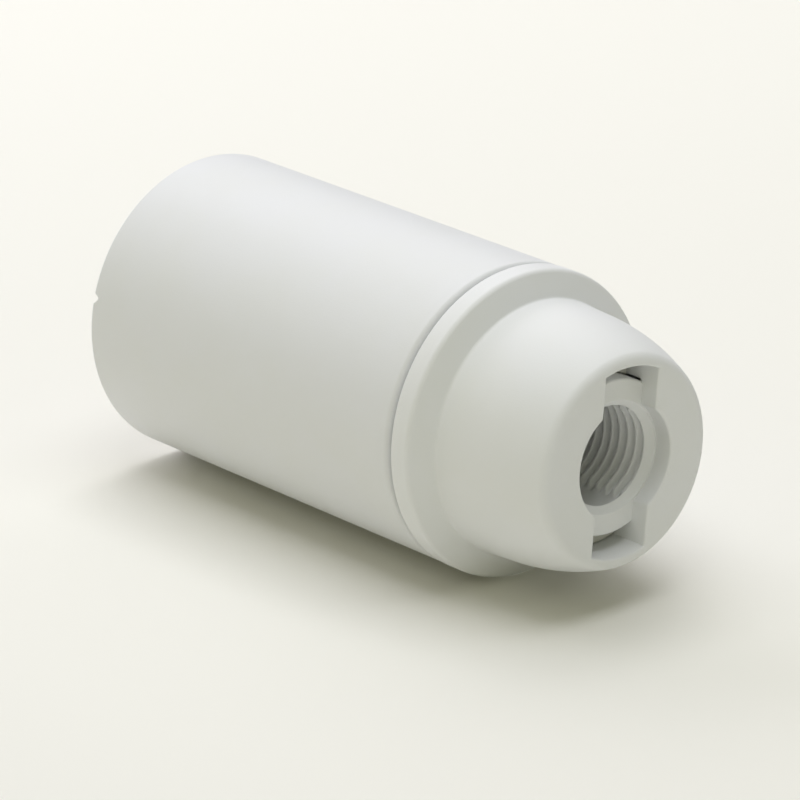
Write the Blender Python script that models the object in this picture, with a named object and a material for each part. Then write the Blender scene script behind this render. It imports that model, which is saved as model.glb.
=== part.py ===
"""E14 lamp holder with a plain skirt and a domed cap for an M10 x 1 threaded tube.

It stands on the open rim of its skirt, with the origin at the centre of that rim. +Z runs along
the axis to the threaded entry. The two slots of the end face lie on Y, the two terminals on X.
"""

import math

import bmesh
import bpy
from mathutils import Matrix, Vector

MM = 0.001

# Skirt, in millimetres like every size below
SKIRT_LENGTH = 40.6
SKIRT_WALL = 1.45
MOUTH_WALL = 1.75
RIM_ROUND = 0.35
TOP_ROUND = 0.2
SHOULDER_THICKNESS = 1.8
SHOULDER_WIDTH = 1.3
KEY_WIDTH = 1.4
KEY_DEPTH = 0.9
KEY_ANGLES = (45, 225)
NICK_WIDTH = 1.25
NICK_DEPTH = 0.55
NICK_REACH = 1.1
NICK_LEAN = 0.15
NICK_ANGLE = 171.6

# Cap: flange, dome, end face, threaded collar, slots
FLANGE_PROUD = 0.05
FLANGE_THICKNESS = 2.1
FLANGE_ROUND = 0.25
SHADOW_GAP = 0.4
SHADOW_DEPTH = 0.8
CAP_SHOULDER_WIDTH = 2.34
CAP_SHOULDER_RISE = 1.05
DOME_LENGTH = 11.35
DOME_STRAIGHT = 3.3
DOME_TAPER = 0.05
DOME_DRAW_IN = 2.11
DOME_WALL = 1.75
INNER_DRAFT = 0.3
END_ROUND = 1.1
END_WALL = 2.1
INNER_ROUND = 0.35
SPIGOT_LENGTH = 4.4
SPIGOT_WALL = 1.5
THREAD_CORE_RADIUS = 4.46
THREAD_CHAMFER = 0.62
COLLAR_WALL = 2.41
COLLAR_LENGTH = 8.7
ENTRY_STEP = 0.79
ENTRY_DEPTH = 1.8
SLOT_WIDTH = 6.1
SLOT_RIM = 0.85
SLOT_DEPTH = 3.6

# Centre contact
BUTTON_RADIUS = 2.3
BUTTON_REACH = 2.1
BUTTON_THICKNESS = 1.6
STEM_RADIUS = 1.1
CLIP_RADIUS = 2.1
CLIP_THICKNESS = 0.4
SPRING_WIRE_RADIUS = 0.22
SPRING_TURNS = 5
STRIP_WIDTH = 3.8
STRIP_THICKNESS = 0.5

# Screw shell and its rivets
SHELL_LENGTH = 16.7
SHELL_CREST_RADIUS = 6.2
SHELL_GROOVE_RADIUS = 7.0
SHELL_PITCH = 2.82
SHELL_SHEET = 0.35
SHELL_LIP = 1.3
TAB_WIDTH = 4.0
TAB_THICKNESS = 0.5
RIVET_RADIUS = 0.9
RIVET_HEAD_RADIUS = 1.2
RIVET_BORE_RADIUS = 0.45

# Terminals and their screws
PILLAR_LENGTH = 4.2
PILLAR_WIDTH = 6.4
PILLAR_DROP = 0.6
PILLAR_EDGE = 0.25
WIRE_HOLE_RADIUS = 1.35
SCREW_RADIUS = 1.25
SCREW_HEAD_RADIUS = 2.1
SCREW_HEAD_THICKNESS = 1.4
SCREW_EDGE = 0.3
SCREW_SLOT_WIDTH = 0.6
SCREW_SLOT_DEPTH = 0.7
TERMINAL_SIDES = {"live": 1, "neutral": -1}

# Terminal block
SLEEVE_WALL = 1.2
SLEEVE_LEAD = 1.0
WEB_THICKNESS = 3.0
FLOOR_THICKNESS = 2.0
CONTACT_BORE_DEPTH = 4.9
GUIDE_THICKNESS = 1.3
CLIP_RECESS_DEPTH = 1.6
POCKET_WALL = 1.6
CORE_WIDTH = 6.0
CORE_WALL = 0.7
CORE_DEPTH = 3.7
BARRIER_THICKNESS = 1.2
BARRIER_RISE = 3.8
BARRIER_LIFT = 2.0
ARCH_RISE = 2.2
ARM_WIDTH = 5.4
ARM_THICKNESS = 1.0
HOOK_DROP = 4.7
HOOK_DEPTH = 1.1
HOOK_HEIGHT = 1.7

# Clearances
SEAT_GAP = 0.3
SLIDE_GAP = 0.3
HOLE_GAP = 0.2
BUTTON_GAP = 0.4
STEM_GAP = 0.35
SPRING_GAP = 0.48
CLIP_GAP = 0.9
POCKET_GAP = 0.4
HEAD_COVER = 0.7
FINE_GAP = 0.05

# Heights that follow, from the skirt's top down and up
FLANGE_FOOT = SKIRT_LENGTH + SHADOW_GAP
FLANGE_TOP = FLANGE_FOOT + FLANGE_THICKNESS
DOME_FOOT = FLANGE_TOP + CAP_SHOULDER_RISE
TOTAL_LENGTH = DOME_FOOT + DOME_LENGTH
ENTRY_FLOOR = TOTAL_LENGTH - ENTRY_DEPTH
INNER_CEILING = TOTAL_LENGTH - END_WALL
COLLAR_FOOT = ENTRY_FLOOR - COLLAR_LENGTH
SLOT_FOOT = TOTAL_LENGTH - SLOT_DEPTH
HOOK_TOP = INNER_CEILING - HOOK_DROP
SPIGOT_FOOT = SKIRT_LENGTH + SEAT_GAP - SPIGOT_LENGTH
STRIP_SLOT_HEIGHT = STRIP_THICKNESS + 2 * HOLE_GAP
BLOCK_HEIGHT = CONTACT_BORE_DEPTH + STRIP_SLOT_HEIGHT + GUIDE_THICKNESS + CLIP_RECESS_DEPTH
BLOCK_TOP = SPIGOT_FOOT - SEAT_GAP
BLOCK_FOOT = BLOCK_TOP - BLOCK_HEIGHT
WEB_TOP = BLOCK_FOOT + WEB_THICKNESS
POCKET_FLOOR = BLOCK_FOOT + FLOOR_THICKNESS
STRIP_SLOT_FOOT = BLOCK_FOOT + CONTACT_BORE_DEPTH
STRIP_FOOT = STRIP_SLOT_FOOT + HOLE_GAP
STRIP_TOP = STRIP_FOOT + STRIP_THICKNESS
CLIP_RECESS_FLOOR = BLOCK_TOP - CLIP_RECESS_DEPTH
CLIP_FOOT = CLIP_RECESS_FLOOR + SEAT_GAP
CLIP_TOP = CLIP_FOOT + CLIP_THICKNESS
BUTTON_TIP = BLOCK_FOOT - BUTTON_REACH
BUTTON_TOP = BUTTON_TIP + BUTTON_THICKNESS
SHELL_TOP = BLOCK_FOOT - SEAT_GAP
SHELL_FOOT = SHELL_TOP - SHELL_LENGTH
SLEEVE_FOOT = SHELL_FOOT - SLEEVE_LEAD
PILLAR_FOOT = POCKET_FLOOR + SEAT_GAP
PILLAR_TOP = BLOCK_TOP - PILLAR_DROP
SCREW_HEIGHT = (PILLAR_FOOT + PILLAR_TOP) / 2

# Distances from the axis that follow, from the centre contact out to the skirt
CONTACT_BORE_RADIUS = BUTTON_RADIUS + BUTTON_GAP
STEM_HOLE_RADIUS = STEM_RADIUS + STEM_GAP
SPRING_RADIUS = CONTACT_BORE_RADIUS - SPRING_GAP - SPRING_WIRE_RADIUS
CLIP_RECESS_RADIUS = CLIP_RADIUS + CLIP_GAP
CORE_INNER = CLIP_RECESS_RADIUS + CORE_WALL
CORE_OUTER = CORE_INNER + CORE_DEPTH
RIVET_CIRCLE = CORE_INNER + RIVET_HEAD_RADIUS + 3 * FINE_GAP
FLANGE_HOLE_RADIUS = RIVET_CIRCLE - RIVET_HEAD_RADIUS - 5 * FINE_GAP
SLEEVE_BORE = SHELL_GROOVE_RADIUS + SHELL_SHEET + SEAT_GAP
SLEEVE_RADIUS = SLEEVE_BORE + SLEEVE_WALL
POCKET_INNER = CONTACT_BORE_RADIUS + POCKET_WALL
TAB_INNER = POCKET_INNER + SEAT_GAP
TAB_OUTER = TAB_INNER + TAB_THICKNESS
PILLAR_INNER = TAB_OUTER + SEAT_GAP
PILLAR_OUTER = PILLAR_INNER + PILLAR_LENGTH
POCKET_WIDTH = PILLAR_WIDTH + 2 * POCKET_GAP
HEAD_SEAT = PILLAR_OUTER + SEAT_GAP
BLOCK_RADIUS = HEAD_SEAT + SCREW_HEAD_THICKNESS + HEAD_COVER
SKIRT_BORE = BLOCK_RADIUS + SLIDE_GAP
SKIRT_RADIUS = SKIRT_BORE + SKIRT_WALL
MOUTH_BORE = SKIRT_RADIUS - MOUTH_WALL
SPIGOT_RADIUS = SKIRT_BORE - SLIDE_GAP
FLANGE_RADIUS = SKIRT_RADIUS + FLANGE_PROUD
DOME_FOOT_RADIUS = FLANGE_RADIUS - CAP_SHOULDER_WIDTH
END_FACE_RADIUS = DOME_FOOT_RADIUS - DOME_DRAW_IN
INNER_FOOT_RADIUS = DOME_FOOT_RADIUS - DOME_WALL
INNER_TOP_RADIUS = INNER_FOOT_RADIUS - INNER_DRAFT
COLLAR_RADIUS = THREAD_CORE_RADIUS + COLLAR_WALL
ENTRY_RADIUS = THREAD_CORE_RADIUS + ENTRY_STEP
SLOT_REACH = END_FACE_RADIUS - SLOT_RIM
ARM_OUTER = math.sqrt((INNER_TOP_RADIUS - SLIDE_GAP) ** 2 - (ARM_WIDTH / 2) ** 2)
ARM_INNER = ARM_OUTER - ARM_THICKNESS
LATCH_REACH = ARM_OUTER + HOOK_DEPTH + SLIDE_GAP

# Cutters run this far past what they cut
PAST = 1.0

# Facets
ROUND_SEGMENTS = 56
SMALL_SEGMENTS = 24


def clear_scene():
    for old in list(bpy.data.objects):
        bpy.data.objects.remove(old, do_unlink=True)


def material(name, color, roughness, metallic=0.0):
    made = bpy.data.materials.new(name)
    made.use_nodes = True
    shader = made.node_tree.nodes["Principled BSDF"]
    shader.inputs["Base Color"].default_value = (*color, 1.0)
    shader.inputs["Roughness"].default_value = roughness
    shader.inputs["Metallic"].default_value = metallic
    return made


def object_from(name, bm, finish=None, smooth=True):
    """Makes the object of a bmesh drawn in millimetres, and frees the bmesh."""
    bmesh.ops.scale(bm, vec=(MM, MM, MM), verts=bm.verts)
    mesh = bpy.data.meshes.new(name)
    bm.to_mesh(mesh)
    bm.free()
    if smooth:
        mesh.shade_smooth()
        mesh.set_sharp_from_angle(angle=math.radians(35))
    made = bpy.data.objects.new(name, mesh)
    bpy.context.scene.collection.objects.link(made)
    if finish:
        mesh.materials.append(finish)
    return made


def as_cutter(made):
    made.hide_render = True
    made.display_type = "WIRE"
    return made


def boolean(target, tool, operation="DIFFERENCE"):
    modifier = target.modifiers.new(tool.name, "BOOLEAN")
    modifier.operation = operation
    modifier.solver = "EXACT"
    modifier.object = as_cutter(tool)


def bevel(target, width, segments=1):
    modifier = target.modifiers.new("edges", "BEVEL")
    modifier.width = width * MM
    modifier.segments = segments
    modifier.limit_method = "ANGLE"
    modifier.angle_limit = math.radians(40)


def arc(centre, radius, start, end, steps):
    """Points of (radius, height) along an arc, with its angles in degrees from the +X side."""
    points = []
    for step in range(steps + 1):
        angle = math.radians(start + (end - start) * step / steps)
        points.append((centre[0] + radius * math.cos(angle), centre[1] + radius * math.sin(angle)))
    return points


def turned_mesh(outline, segments=ROUND_SEGMENTS, ring=True):
    """A bmesh turned round Z from an outline of (radius, height): a closed one, or one from axis to axis."""
    bm = bmesh.new()
    verts = [bm.verts.new((radius, 0, height)) for radius, height in outline]
    edges = [bm.edges.new(pair) for pair in zip(verts, verts[1:])]
    if ring:
        edges.append(bm.edges.new((verts[-1], verts[0])))
    bmesh.ops.spin(
        bm, geom=verts + edges, axis=(0, 0, 1), angle=2 * math.pi, steps=segments, use_merge=True
    )
    bmesh.ops.remove_doubles(bm, verts=bm.verts, dist=1e-5)
    bmesh.ops.recalc_face_normals(bm, faces=bm.faces)
    return bm


def box_mesh(low, high):
    low, high = Vector(low), Vector(high)
    bm = bmesh.new()
    size = Matrix.Diagonal((*(high - low), 1))
    bmesh.ops.create_cube(bm, size=1, matrix=Matrix.Translation((low + high) / 2) @ size)
    return bm


def extrude(bm, faces, vector):
    """Extrudes faces of a bmesh along a vector. The faces themselves stay behind."""
    swept = bmesh.ops.extrude_face_region(bm, geom=faces)["geom"]
    moved = [part for part in swept if isinstance(part, bmesh.types.BMVert)]
    bmesh.ops.translate(bm, verts=moved, vec=vector)


def prism_mesh(corners, vector):
    """The solid that a flat face through the corners sweeps along the vector."""
    bm = bmesh.new()
    face = bm.faces.new([bm.verts.new(corner) for corner in corners])
    extrude(bm, [face], vector)
    bmesh.ops.recalc_face_normals(bm, faces=bm.faces)
    return bm


def cylinder_mesh(radius, foot, top, place=(0, 0), segments=SMALL_SEGMENTS):
    bm = bmesh.new()
    matrix = Matrix.Translation((place[0], place[1], (foot + top) / 2))
    bmesh.ops.create_cone(
        bm, cap_ends=True, segments=segments, radius1=radius, radius2=radius, depth=top - foot, matrix=matrix
    )
    return bm


def outer_skirt(finish):
    """The plain tube, with the inner shoulder under the block and two keys that stop it turning."""
    shoulder_bore = SKIRT_BORE - SHOULDER_WIDTH
    shoulder_top = BLOCK_FOOT - SEAT_GAP
    shoulder_foot = shoulder_top - SHOULDER_THICKNESS
    outline = arc((SKIRT_RADIUS - RIM_ROUND, RIM_ROUND), RIM_ROUND, -90, 0, 3)
    outline += arc((SKIRT_RADIUS - TOP_ROUND, SKIRT_LENGTH - TOP_ROUND), TOP_ROUND, 0, 90, 2)
    outline += [
        (SKIRT_BORE, SKIRT_LENGTH),
        (SKIRT_BORE, shoulder_top),
        (shoulder_bore, shoulder_top),
        (shoulder_bore, shoulder_foot),
        (MOUTH_BORE, shoulder_foot - (MOUTH_BORE - shoulder_bore)),
        (MOUTH_BORE, RIM_ROUND),
        (MOUTH_BORE + RIM_ROUND / 2, 0),
    ]
    skirt = object_from("outer_skirt", turned_mesh(outline), finish)
    for number, angle in enumerate(KEY_ANGLES, 1):
        low = (SKIRT_BORE - KEY_DEPTH, -KEY_WIDTH / 2, shoulder_top - SHOULDER_THICKNESS / 4)
        key = box_mesh(low, (SKIRT_BORE + SKIRT_WALL / 2, KEY_WIDTH / 2, BLOCK_TOP))
        bmesh.ops.rotate(key, verts=key.verts, matrix=Matrix.Rotation(math.radians(angle), 3, "Z"))
        boolean(skirt, object_from(f"skirt_key_{number}", key, smooth=False), "UNION")
    inside = SKIRT_RADIUS - NICK_REACH
    nick = prism_mesh(
        [
            (inside, -NICK_WIDTH - NICK_LEAN, -NICK_DEPTH),
            (inside, NICK_WIDTH - NICK_LEAN, -NICK_DEPTH),
            (inside, NICK_LEAN, NICK_DEPTH),
        ],
        (NICK_REACH + PAST, 0, 0),
    )
    bmesh.ops.rotate(nick, verts=nick.verts, matrix=Matrix.Rotation(math.radians(NICK_ANGLE), 3, "Z"))
    boolean(skirt, object_from("rim_nick", nick, smooth=False))
    return skirt


def dome_side(steps=6):
    """The dome's outline from its foot to the rounded edge of the end face.

    The side leans in a little, then bends on one arc that starts along the side and would end on
    the end face. The arc's radius comes from those two conditions. A smaller arc that touches both
    it and the end face rounds the edge between them.
    """
    start = (DOME_FOOT_RADIUS - DOME_TAPER * DOME_STRAIGHT, DOME_FOOT + DOME_STRAIGHT)
    lean = math.atan(DOME_TAPER)
    run = TOTAL_LENGTH - start[1]
    drop = start[0] - END_FACE_RADIUS
    radius = (run**2 + drop**2) / (2 * (drop * math.cos(lean) - run * math.sin(lean)))
    centre = (start[0] - radius * math.cos(lean), start[1] - radius * math.sin(lean))
    rise = TOTAL_LENGTH - END_ROUND - centre[1]
    reach = math.sqrt((radius - END_ROUND) ** 2 - rise**2)
    meeting = math.degrees(math.atan2(rise, reach))
    side = arc(centre, radius, math.degrees(lean), meeting, steps)
    edge = arc((centre[0] + reach, centre[1] + rise), END_ROUND, meeting, 90, steps // 2)
    return [(DOME_FOOT_RADIUS, DOME_FOOT)] + side + edge[1:]


def dome_cap(finish):
    """Flange, dome, spigot and threaded collar, all one moulding."""
    seat_radius = FLANGE_RADIUS - SHADOW_DEPTH
    seat = SKIRT_LENGTH + SEAT_GAP
    flange_edge = FLANGE_RADIUS - FLANGE_ROUND
    inner_corner = SLOT_REACH - INNER_DRAFT
    thread_top = ENTRY_FLOOR - THREAD_CHAMFER
    outline = [(SPIGOT_RADIUS, SPIGOT_FOOT + INNER_DRAFT), (SPIGOT_RADIUS, seat), (seat_radius, seat)]
    outline += [(seat_radius, FLANGE_FOOT)]
    outline += arc((flange_edge, FLANGE_FOOT + FLANGE_ROUND), FLANGE_ROUND, -90, 0, 2)
    outline += arc((flange_edge, FLANGE_TOP - FLANGE_ROUND), FLANGE_ROUND, 0, 70, 2)
    outline += dome_side()
    outline += [
        (ENTRY_RADIUS, TOTAL_LENGTH),
        (ENTRY_RADIUS, ENTRY_FLOOR),
        (THREAD_CORE_RADIUS + THREAD_CHAMFER, ENTRY_FLOOR),
        (THREAD_CORE_RADIUS, thread_top),
        (THREAD_CORE_RADIUS, COLLAR_FOOT + THREAD_CHAMFER),
        (THREAD_CORE_RADIUS + THREAD_CHAMFER, COLLAR_FOOT),
        (COLLAR_RADIUS, COLLAR_FOOT),
        (COLLAR_RADIUS, INNER_CEILING),
        (inner_corner - INNER_ROUND, INNER_CEILING),
        (inner_corner, INNER_CEILING - INNER_ROUND),
        (INNER_TOP_RADIUS, HOOK_TOP + SLIDE_GAP),
        (INNER_FOOT_RADIUS, DOME_FOOT),
        (INNER_FOOT_RADIUS, FLANGE_FOOT + SHADOW_GAP),
        (SPIGOT_RADIUS - SPIGOT_WALL, FLANGE_FOOT - SHADOW_GAP),
        (SPIGOT_RADIUS - SPIGOT_WALL, SPIGOT_FOOT),
        (SPIGOT_RADIUS - INNER_DRAFT, SPIGOT_FOOT),
    ]
    cap = object_from("dome_cap", turned_mesh(outline), finish)
    half = SLOT_WIDTH / 2
    for side in (1, -1):
        low, high = sorted((side * ARM_INNER, side * LATCH_REACH))
        pocket = box_mesh(
            (-half, low, HOOK_TOP - HOOK_HEIGHT - SLIDE_GAP), (half, high, HOOK_TOP + SLIDE_GAP)
        )
        boolean(cap, object_from(f"latch_pocket_{side:+d}", pocket, smooth=False))
    past_end = TOTAL_LENGTH + PAST
    window = [(0, ENTRY_FLOOR), (COLLAR_RADIUS, ENTRY_FLOOR), (COLLAR_RADIUS, SLOT_FOOT)]
    window += [(SLOT_REACH, SLOT_FOOT), (SLOT_REACH, past_end), (0, past_end)]
    slots = object_from("slots", turned_mesh(window, ring=False), smooth=False)
    across = box_mesh((-half, -SLOT_REACH - PAST, COLLAR_FOOT), (half, SLOT_REACH + PAST, past_end + PAST))
    boolean(slots, object_from("slot_width", across, smooth=False), "INTERSECT")
    boolean(cap, slots)
    return cap


def terminal_block(finish):
    """The insulating moulding that carries every metal piece."""
    outline = [
        (SLEEVE_BORE, SLEEVE_FOOT),
        (SLEEVE_RADIUS, SLEEVE_FOOT),
        (SLEEVE_RADIUS, BLOCK_FOOT),
        (BLOCK_RADIUS, BLOCK_FOOT),
        (BLOCK_RADIUS, BLOCK_TOP),
        (STEM_HOLE_RADIUS, BLOCK_TOP),
        (STEM_HOLE_RADIUS, STRIP_SLOT_FOOT),
        (CONTACT_BORE_RADIUS, STRIP_SLOT_FOOT),
        (CONTACT_BORE_RADIUS, BLOCK_FOOT),
        (SLEEVE_BORE, BLOCK_FOOT),
    ]
    block = object_from("terminal_block", turned_mesh(outline), finish)
    for side in (1, -1):
        low, high = sorted((side * CORE_INNER, side * CORE_OUTER))
        core = box_mesh((-CORE_WIDTH / 2, low, WEB_TOP), (CORE_WIDTH / 2, high, BLOCK_TOP + PAST))
        boolean(block, object_from(f"core_{side:+d}", core, smooth=False))
        hole = cylinder_mesh(
            RIVET_RADIUS + HOLE_GAP, BLOCK_FOOT - PAST, WEB_TOP + PAST, (0, side * RIVET_CIRCLE)
        )
        boolean(block, object_from(f"rivet_hole_{side:+d}", hole))
    boolean(block, barrier(), "UNION")
    recess = cylinder_mesh(CLIP_RECESS_RADIUS, CLIP_RECESS_FLOOR, BLOCK_TOP + PAST / 2)
    boolean(block, object_from("clip_recess", recess))
    strip_half = STRIP_WIDTH / 2 + HOLE_GAP
    strip_slot = box_mesh(
        (-strip_half - PAST, -strip_half, STRIP_SLOT_FOOT),
        (POCKET_INNER + PAST / 2, strip_half, STRIP_SLOT_FOOT + STRIP_SLOT_HEIGHT),
    )
    boolean(block, object_from("strip_slot", strip_slot, smooth=False))
    tab_half = TAB_WIDTH / 2 + HOLE_GAP
    tab_slot = box_mesh(
        (-TAB_OUTER - HOLE_GAP, -tab_half, BLOCK_FOOT - PAST),
        (-TAB_INNER + HOLE_GAP, tab_half, POCKET_FLOOR + PAST),
    )
    boolean(block, object_from("tab_slot", tab_slot, smooth=False))
    for name, side in TERMINAL_SIDES.items():
        low, high = sorted((side * POCKET_INNER, side * (BLOCK_RADIUS + PAST)))
        pocket = box_mesh(
            (low, -POCKET_WIDTH / 2, POCKET_FLOOR), (high, POCKET_WIDTH / 2, BLOCK_TOP + PAST)
        )
        boolean(block, object_from(f"{name}_pocket", pocket, smooth=False))
    for side in (1, -1):
        boolean(block, object_from(f"snap_arm_{side:+d}", snap_arm(side), smooth=False), "UNION")
    for number, angle in enumerate(KEY_ANGLES, 1):
        notch = box_mesh(
            (SKIRT_BORE - KEY_DEPTH - SLIDE_GAP, -KEY_WIDTH / 2 - SLIDE_GAP, BLOCK_FOOT - PAST),
            (BLOCK_RADIUS + PAST, KEY_WIDTH / 2 + SLIDE_GAP, BLOCK_TOP + PAST),
        )
        bmesh.ops.rotate(notch, verts=notch.verts, matrix=Matrix.Rotation(math.radians(angle), 3, "Z"))
        boolean(block, object_from(f"key_notch_{number}", notch, smooth=False))
    return block


def barrier():
    """The wall between the two wires, with an arch over the end of the plunger's stem."""
    half = BARRIER_THICKNESS / 2
    reach = CORE_OUTER + SLIDE_GAP
    span = CLIP_RECESS_RADIUS + SLIDE_GAP
    wall = object_from(
        "barrier",
        box_mesh((-half, -reach, WEB_TOP + BARRIER_LIFT), (half, reach, BLOCK_TOP + BARRIER_RISE)),
        smooth=False,
    )
    arch = box_mesh((-half - PAST, -span, BLOCK_FOOT), (half + PAST, span, BLOCK_TOP + ARCH_RISE))
    boolean(wall, object_from("barrier_arch", arch, smooth=False))
    return wall


def snap_arm(side):
    """A springy arm with a hook that faces out, drawn from the side and given its width along X."""
    tip = ARM_OUTER + HOOK_DEPTH
    outline = [
        (ARM_INNER, BLOCK_TOP - 2 * PAST),
        (ARM_OUTER, BLOCK_TOP - 2 * PAST),
        (ARM_OUTER, HOOK_TOP - HOOK_HEIGHT),
        (tip, HOOK_TOP - HOOK_HEIGHT),
        (tip, HOOK_TOP - HOOK_HEIGHT * 0.75),
        (ARM_OUTER - ARM_THICKNESS * 0.3, HOOK_TOP),
        (ARM_INNER, HOOK_TOP),
    ]
    corners = [(-ARM_WIDTH / 2, side * reach, height) for reach, height in outline]
    return prism_mesh(corners, (ARM_WIDTH, 0, 0))


def shell_wave(height, angle):
    """Inner radius of the rolled thread, faded to a plain ring at both ends."""
    low = SHELL_FOOT + SHELL_LIP
    high = SHELL_TOP - SHELL_LIP
    if height <= low or height >= high:
        return SHELL_GROOVE_RADIUS
    fade = min(1, (height - low) / SHELL_PITCH * 2, (high - height) / SHELL_PITCH * 2)
    phase = 2 * math.pi * height / SHELL_PITCH - angle
    depth = (SHELL_GROOVE_RADIUS - SHELL_CREST_RADIUS) * (1 - math.cos(phase)) / 2
    return SHELL_GROOVE_RADIUS - fade * depth


def screw_shell(finish):
    """The rolled shell with its inner flange and the tab that rises to the neutral terminal."""
    segments = 28
    levels = 26
    foot, top = SHELL_FOOT, SHELL_TOP - SHELL_SHEET
    heights = [foot + (top - foot) * level / levels for level in range(levels + 1)]
    bm = bmesh.new()
    loops = []
    for segment in range(segments):
        angle = 2 * math.pi * segment / segments
        inner = [(shell_wave(height, angle), height) for height in heights]
        outer = [(radius + SHELL_SHEET, height) for radius, height in inner]
        section = inner + [(FLANGE_HOLE_RADIUS, top), (FLANGE_HOLE_RADIUS, SHELL_TOP)]
        section += [(outer[-1][0], SHELL_TOP)] + outer[-2::-1]
        turn = Matrix.Rotation(angle, 3, "Z")
        loops.append([bm.verts.new(turn @ Vector((radius, 0, height))) for radius, height in section])
    for here, there in zip(loops, loops[1:] + loops[:1]):
        for index in range(len(here)):
            before = index - 1
            bm.faces.new((here[before], there[before], there[index], here[index]))
    bmesh.ops.recalc_face_normals(bm, faces=bm.faces)
    shell = object_from("screw_shell", bm, finish)
    tab = box_mesh(
        (-TAB_OUTER, -TAB_WIDTH / 2, SHELL_TOP - SHELL_SHEET / 2), (-TAB_INNER, TAB_WIDTH / 2, STRIP_TOP)
    )
    boolean(shell, object_from("shell_tab", tab, smooth=False), "UNION")
    for side in (1, -1):
        hole = cylinder_mesh(
            RIVET_RADIUS + HOLE_GAP, SHELL_TOP - PAST, SHELL_TOP + PAST, (0, side * RIVET_CIRCLE)
        )
        boolean(shell, object_from(f"shell_hole_{side:+d}", hole))
    return shell


def shell_rivet(number, side, finish):
    """A hollow rivet: its formed head under the shell's flange, its lip spread on the block's web."""
    head_top = SHELL_TOP - SHELL_SHEET - 2 * FINE_GAP
    head_foot = head_top - RIVET_RADIUS / 2
    lip_foot = WEB_TOP + 2 * FINE_GAP
    lip_top = lip_foot + RIVET_RADIUS / 2
    outline = [
        (RIVET_BORE_RADIUS, head_foot),
        (RIVET_HEAD_RADIUS - HOLE_GAP, head_foot),
        (RIVET_HEAD_RADIUS, head_foot + HOLE_GAP),
        (RIVET_HEAD_RADIUS, head_top),
        (RIVET_RADIUS, head_top),
        (RIVET_RADIUS, lip_foot),
        (RIVET_HEAD_RADIUS, lip_foot + FINE_GAP),
        (RIVET_HEAD_RADIUS - 2 * FINE_GAP, lip_top),
        (RIVET_BORE_RADIUS, lip_top - FINE_GAP),
    ]
    rivet = object_from(f"shell_rivet_{number}", turned_mesh(outline, 16), finish)
    rivet.location = (0, side * RIVET_CIRCLE * MM, 0)
    return rivet


def centre_plunger(finish):
    """The button that meets the lamp, with its stem and the groove for the clip."""
    groove = STEM_RADIUS - STEM_GAP
    crown = (BUTTON_THICKNESS - BUTTON_GAP) / 2
    stem_top = CLIP_TOP + BUTTON_GAP + SEAT_GAP
    outline = [(0, BUTTON_TIP), (BUTTON_RADIUS * 0.45, BUTTON_TIP + crown * 0.13)]
    outline += [(BUTTON_RADIUS * 0.8, BUTTON_TIP + crown * 0.5), (BUTTON_RADIUS, BUTTON_TIP + crown * 1.4)]
    outline += [
        (BUTTON_RADIUS, BUTTON_TOP),
        (STEM_RADIUS, BUTTON_TOP),
        (STEM_RADIUS, CLIP_FOOT - FINE_GAP),
        (groove, CLIP_FOOT - FINE_GAP),
        (groove, CLIP_TOP + FINE_GAP),
        (STEM_RADIUS, CLIP_TOP + FINE_GAP),
        (STEM_RADIUS, stem_top - HOLE_GAP),
        (STEM_RADIUS - HOLE_GAP, stem_top),
        (0, stem_top),
    ]
    return object_from("centre_plunger", turned_mesh(outline, SMALL_SEGMENTS, ring=False), finish)


def plunger_clip(finish):
    """The open washer that keeps the plunger in the block."""
    bore = STEM_RADIUS - STEM_GAP + 2 * FINE_GAP
    outline = [(bore, CLIP_FOOT), (CLIP_RADIUS, CLIP_FOOT), (CLIP_RADIUS, CLIP_TOP), (bore, CLIP_TOP)]
    clip = object_from("plunger_clip", turned_mesh(outline, SMALL_SEGMENTS), finish)
    half = bore * 0.8
    mouth = box_mesh((0, -half, CLIP_FOOT - PAST), (CLIP_RADIUS + PAST, half, CLIP_TOP + PAST))
    boolean(clip, object_from("clip_mouth", mouth, smooth=False))
    return clip


def plunger_spring(finish):
    """Coil spring between the button and the live strip, with its end turns closed."""
    per_turn = 14
    closing = 0.045
    foot = BUTTON_TOP + SPRING_WIRE_RADIUS + FINE_GAP
    top = STRIP_FOOT - SPRING_WIRE_RADIUS - FINE_GAP
    steps = SPRING_TURNS * per_turn
    curve = bpy.data.curves.new("plunger_spring", "CURVE")
    curve.dimensions = "3D"
    curve.bevel_depth = SPRING_WIRE_RADIUS * MM
    curve.bevel_resolution = 1
    curve.use_fill_caps = True
    spline = curve.splines.new("POLY")
    spline.points.add(steps)
    for step, point in enumerate(spline.points):
        share = step / steps
        angle = 2 * math.pi * SPRING_TURNS * share
        climb = share - closing * math.sin(2 * math.pi * share)
        height = foot + (top - foot) * climb
        place = (SPRING_RADIUS * math.cos(angle), SPRING_RADIUS * math.sin(angle), height)
        point.co = (*[value * MM for value in place], 1)
    curve.materials.append(finish)
    spring = bpy.data.objects.new("plunger_spring", curve)
    bpy.context.scene.collection.objects.link(spring)
    return spring


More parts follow.
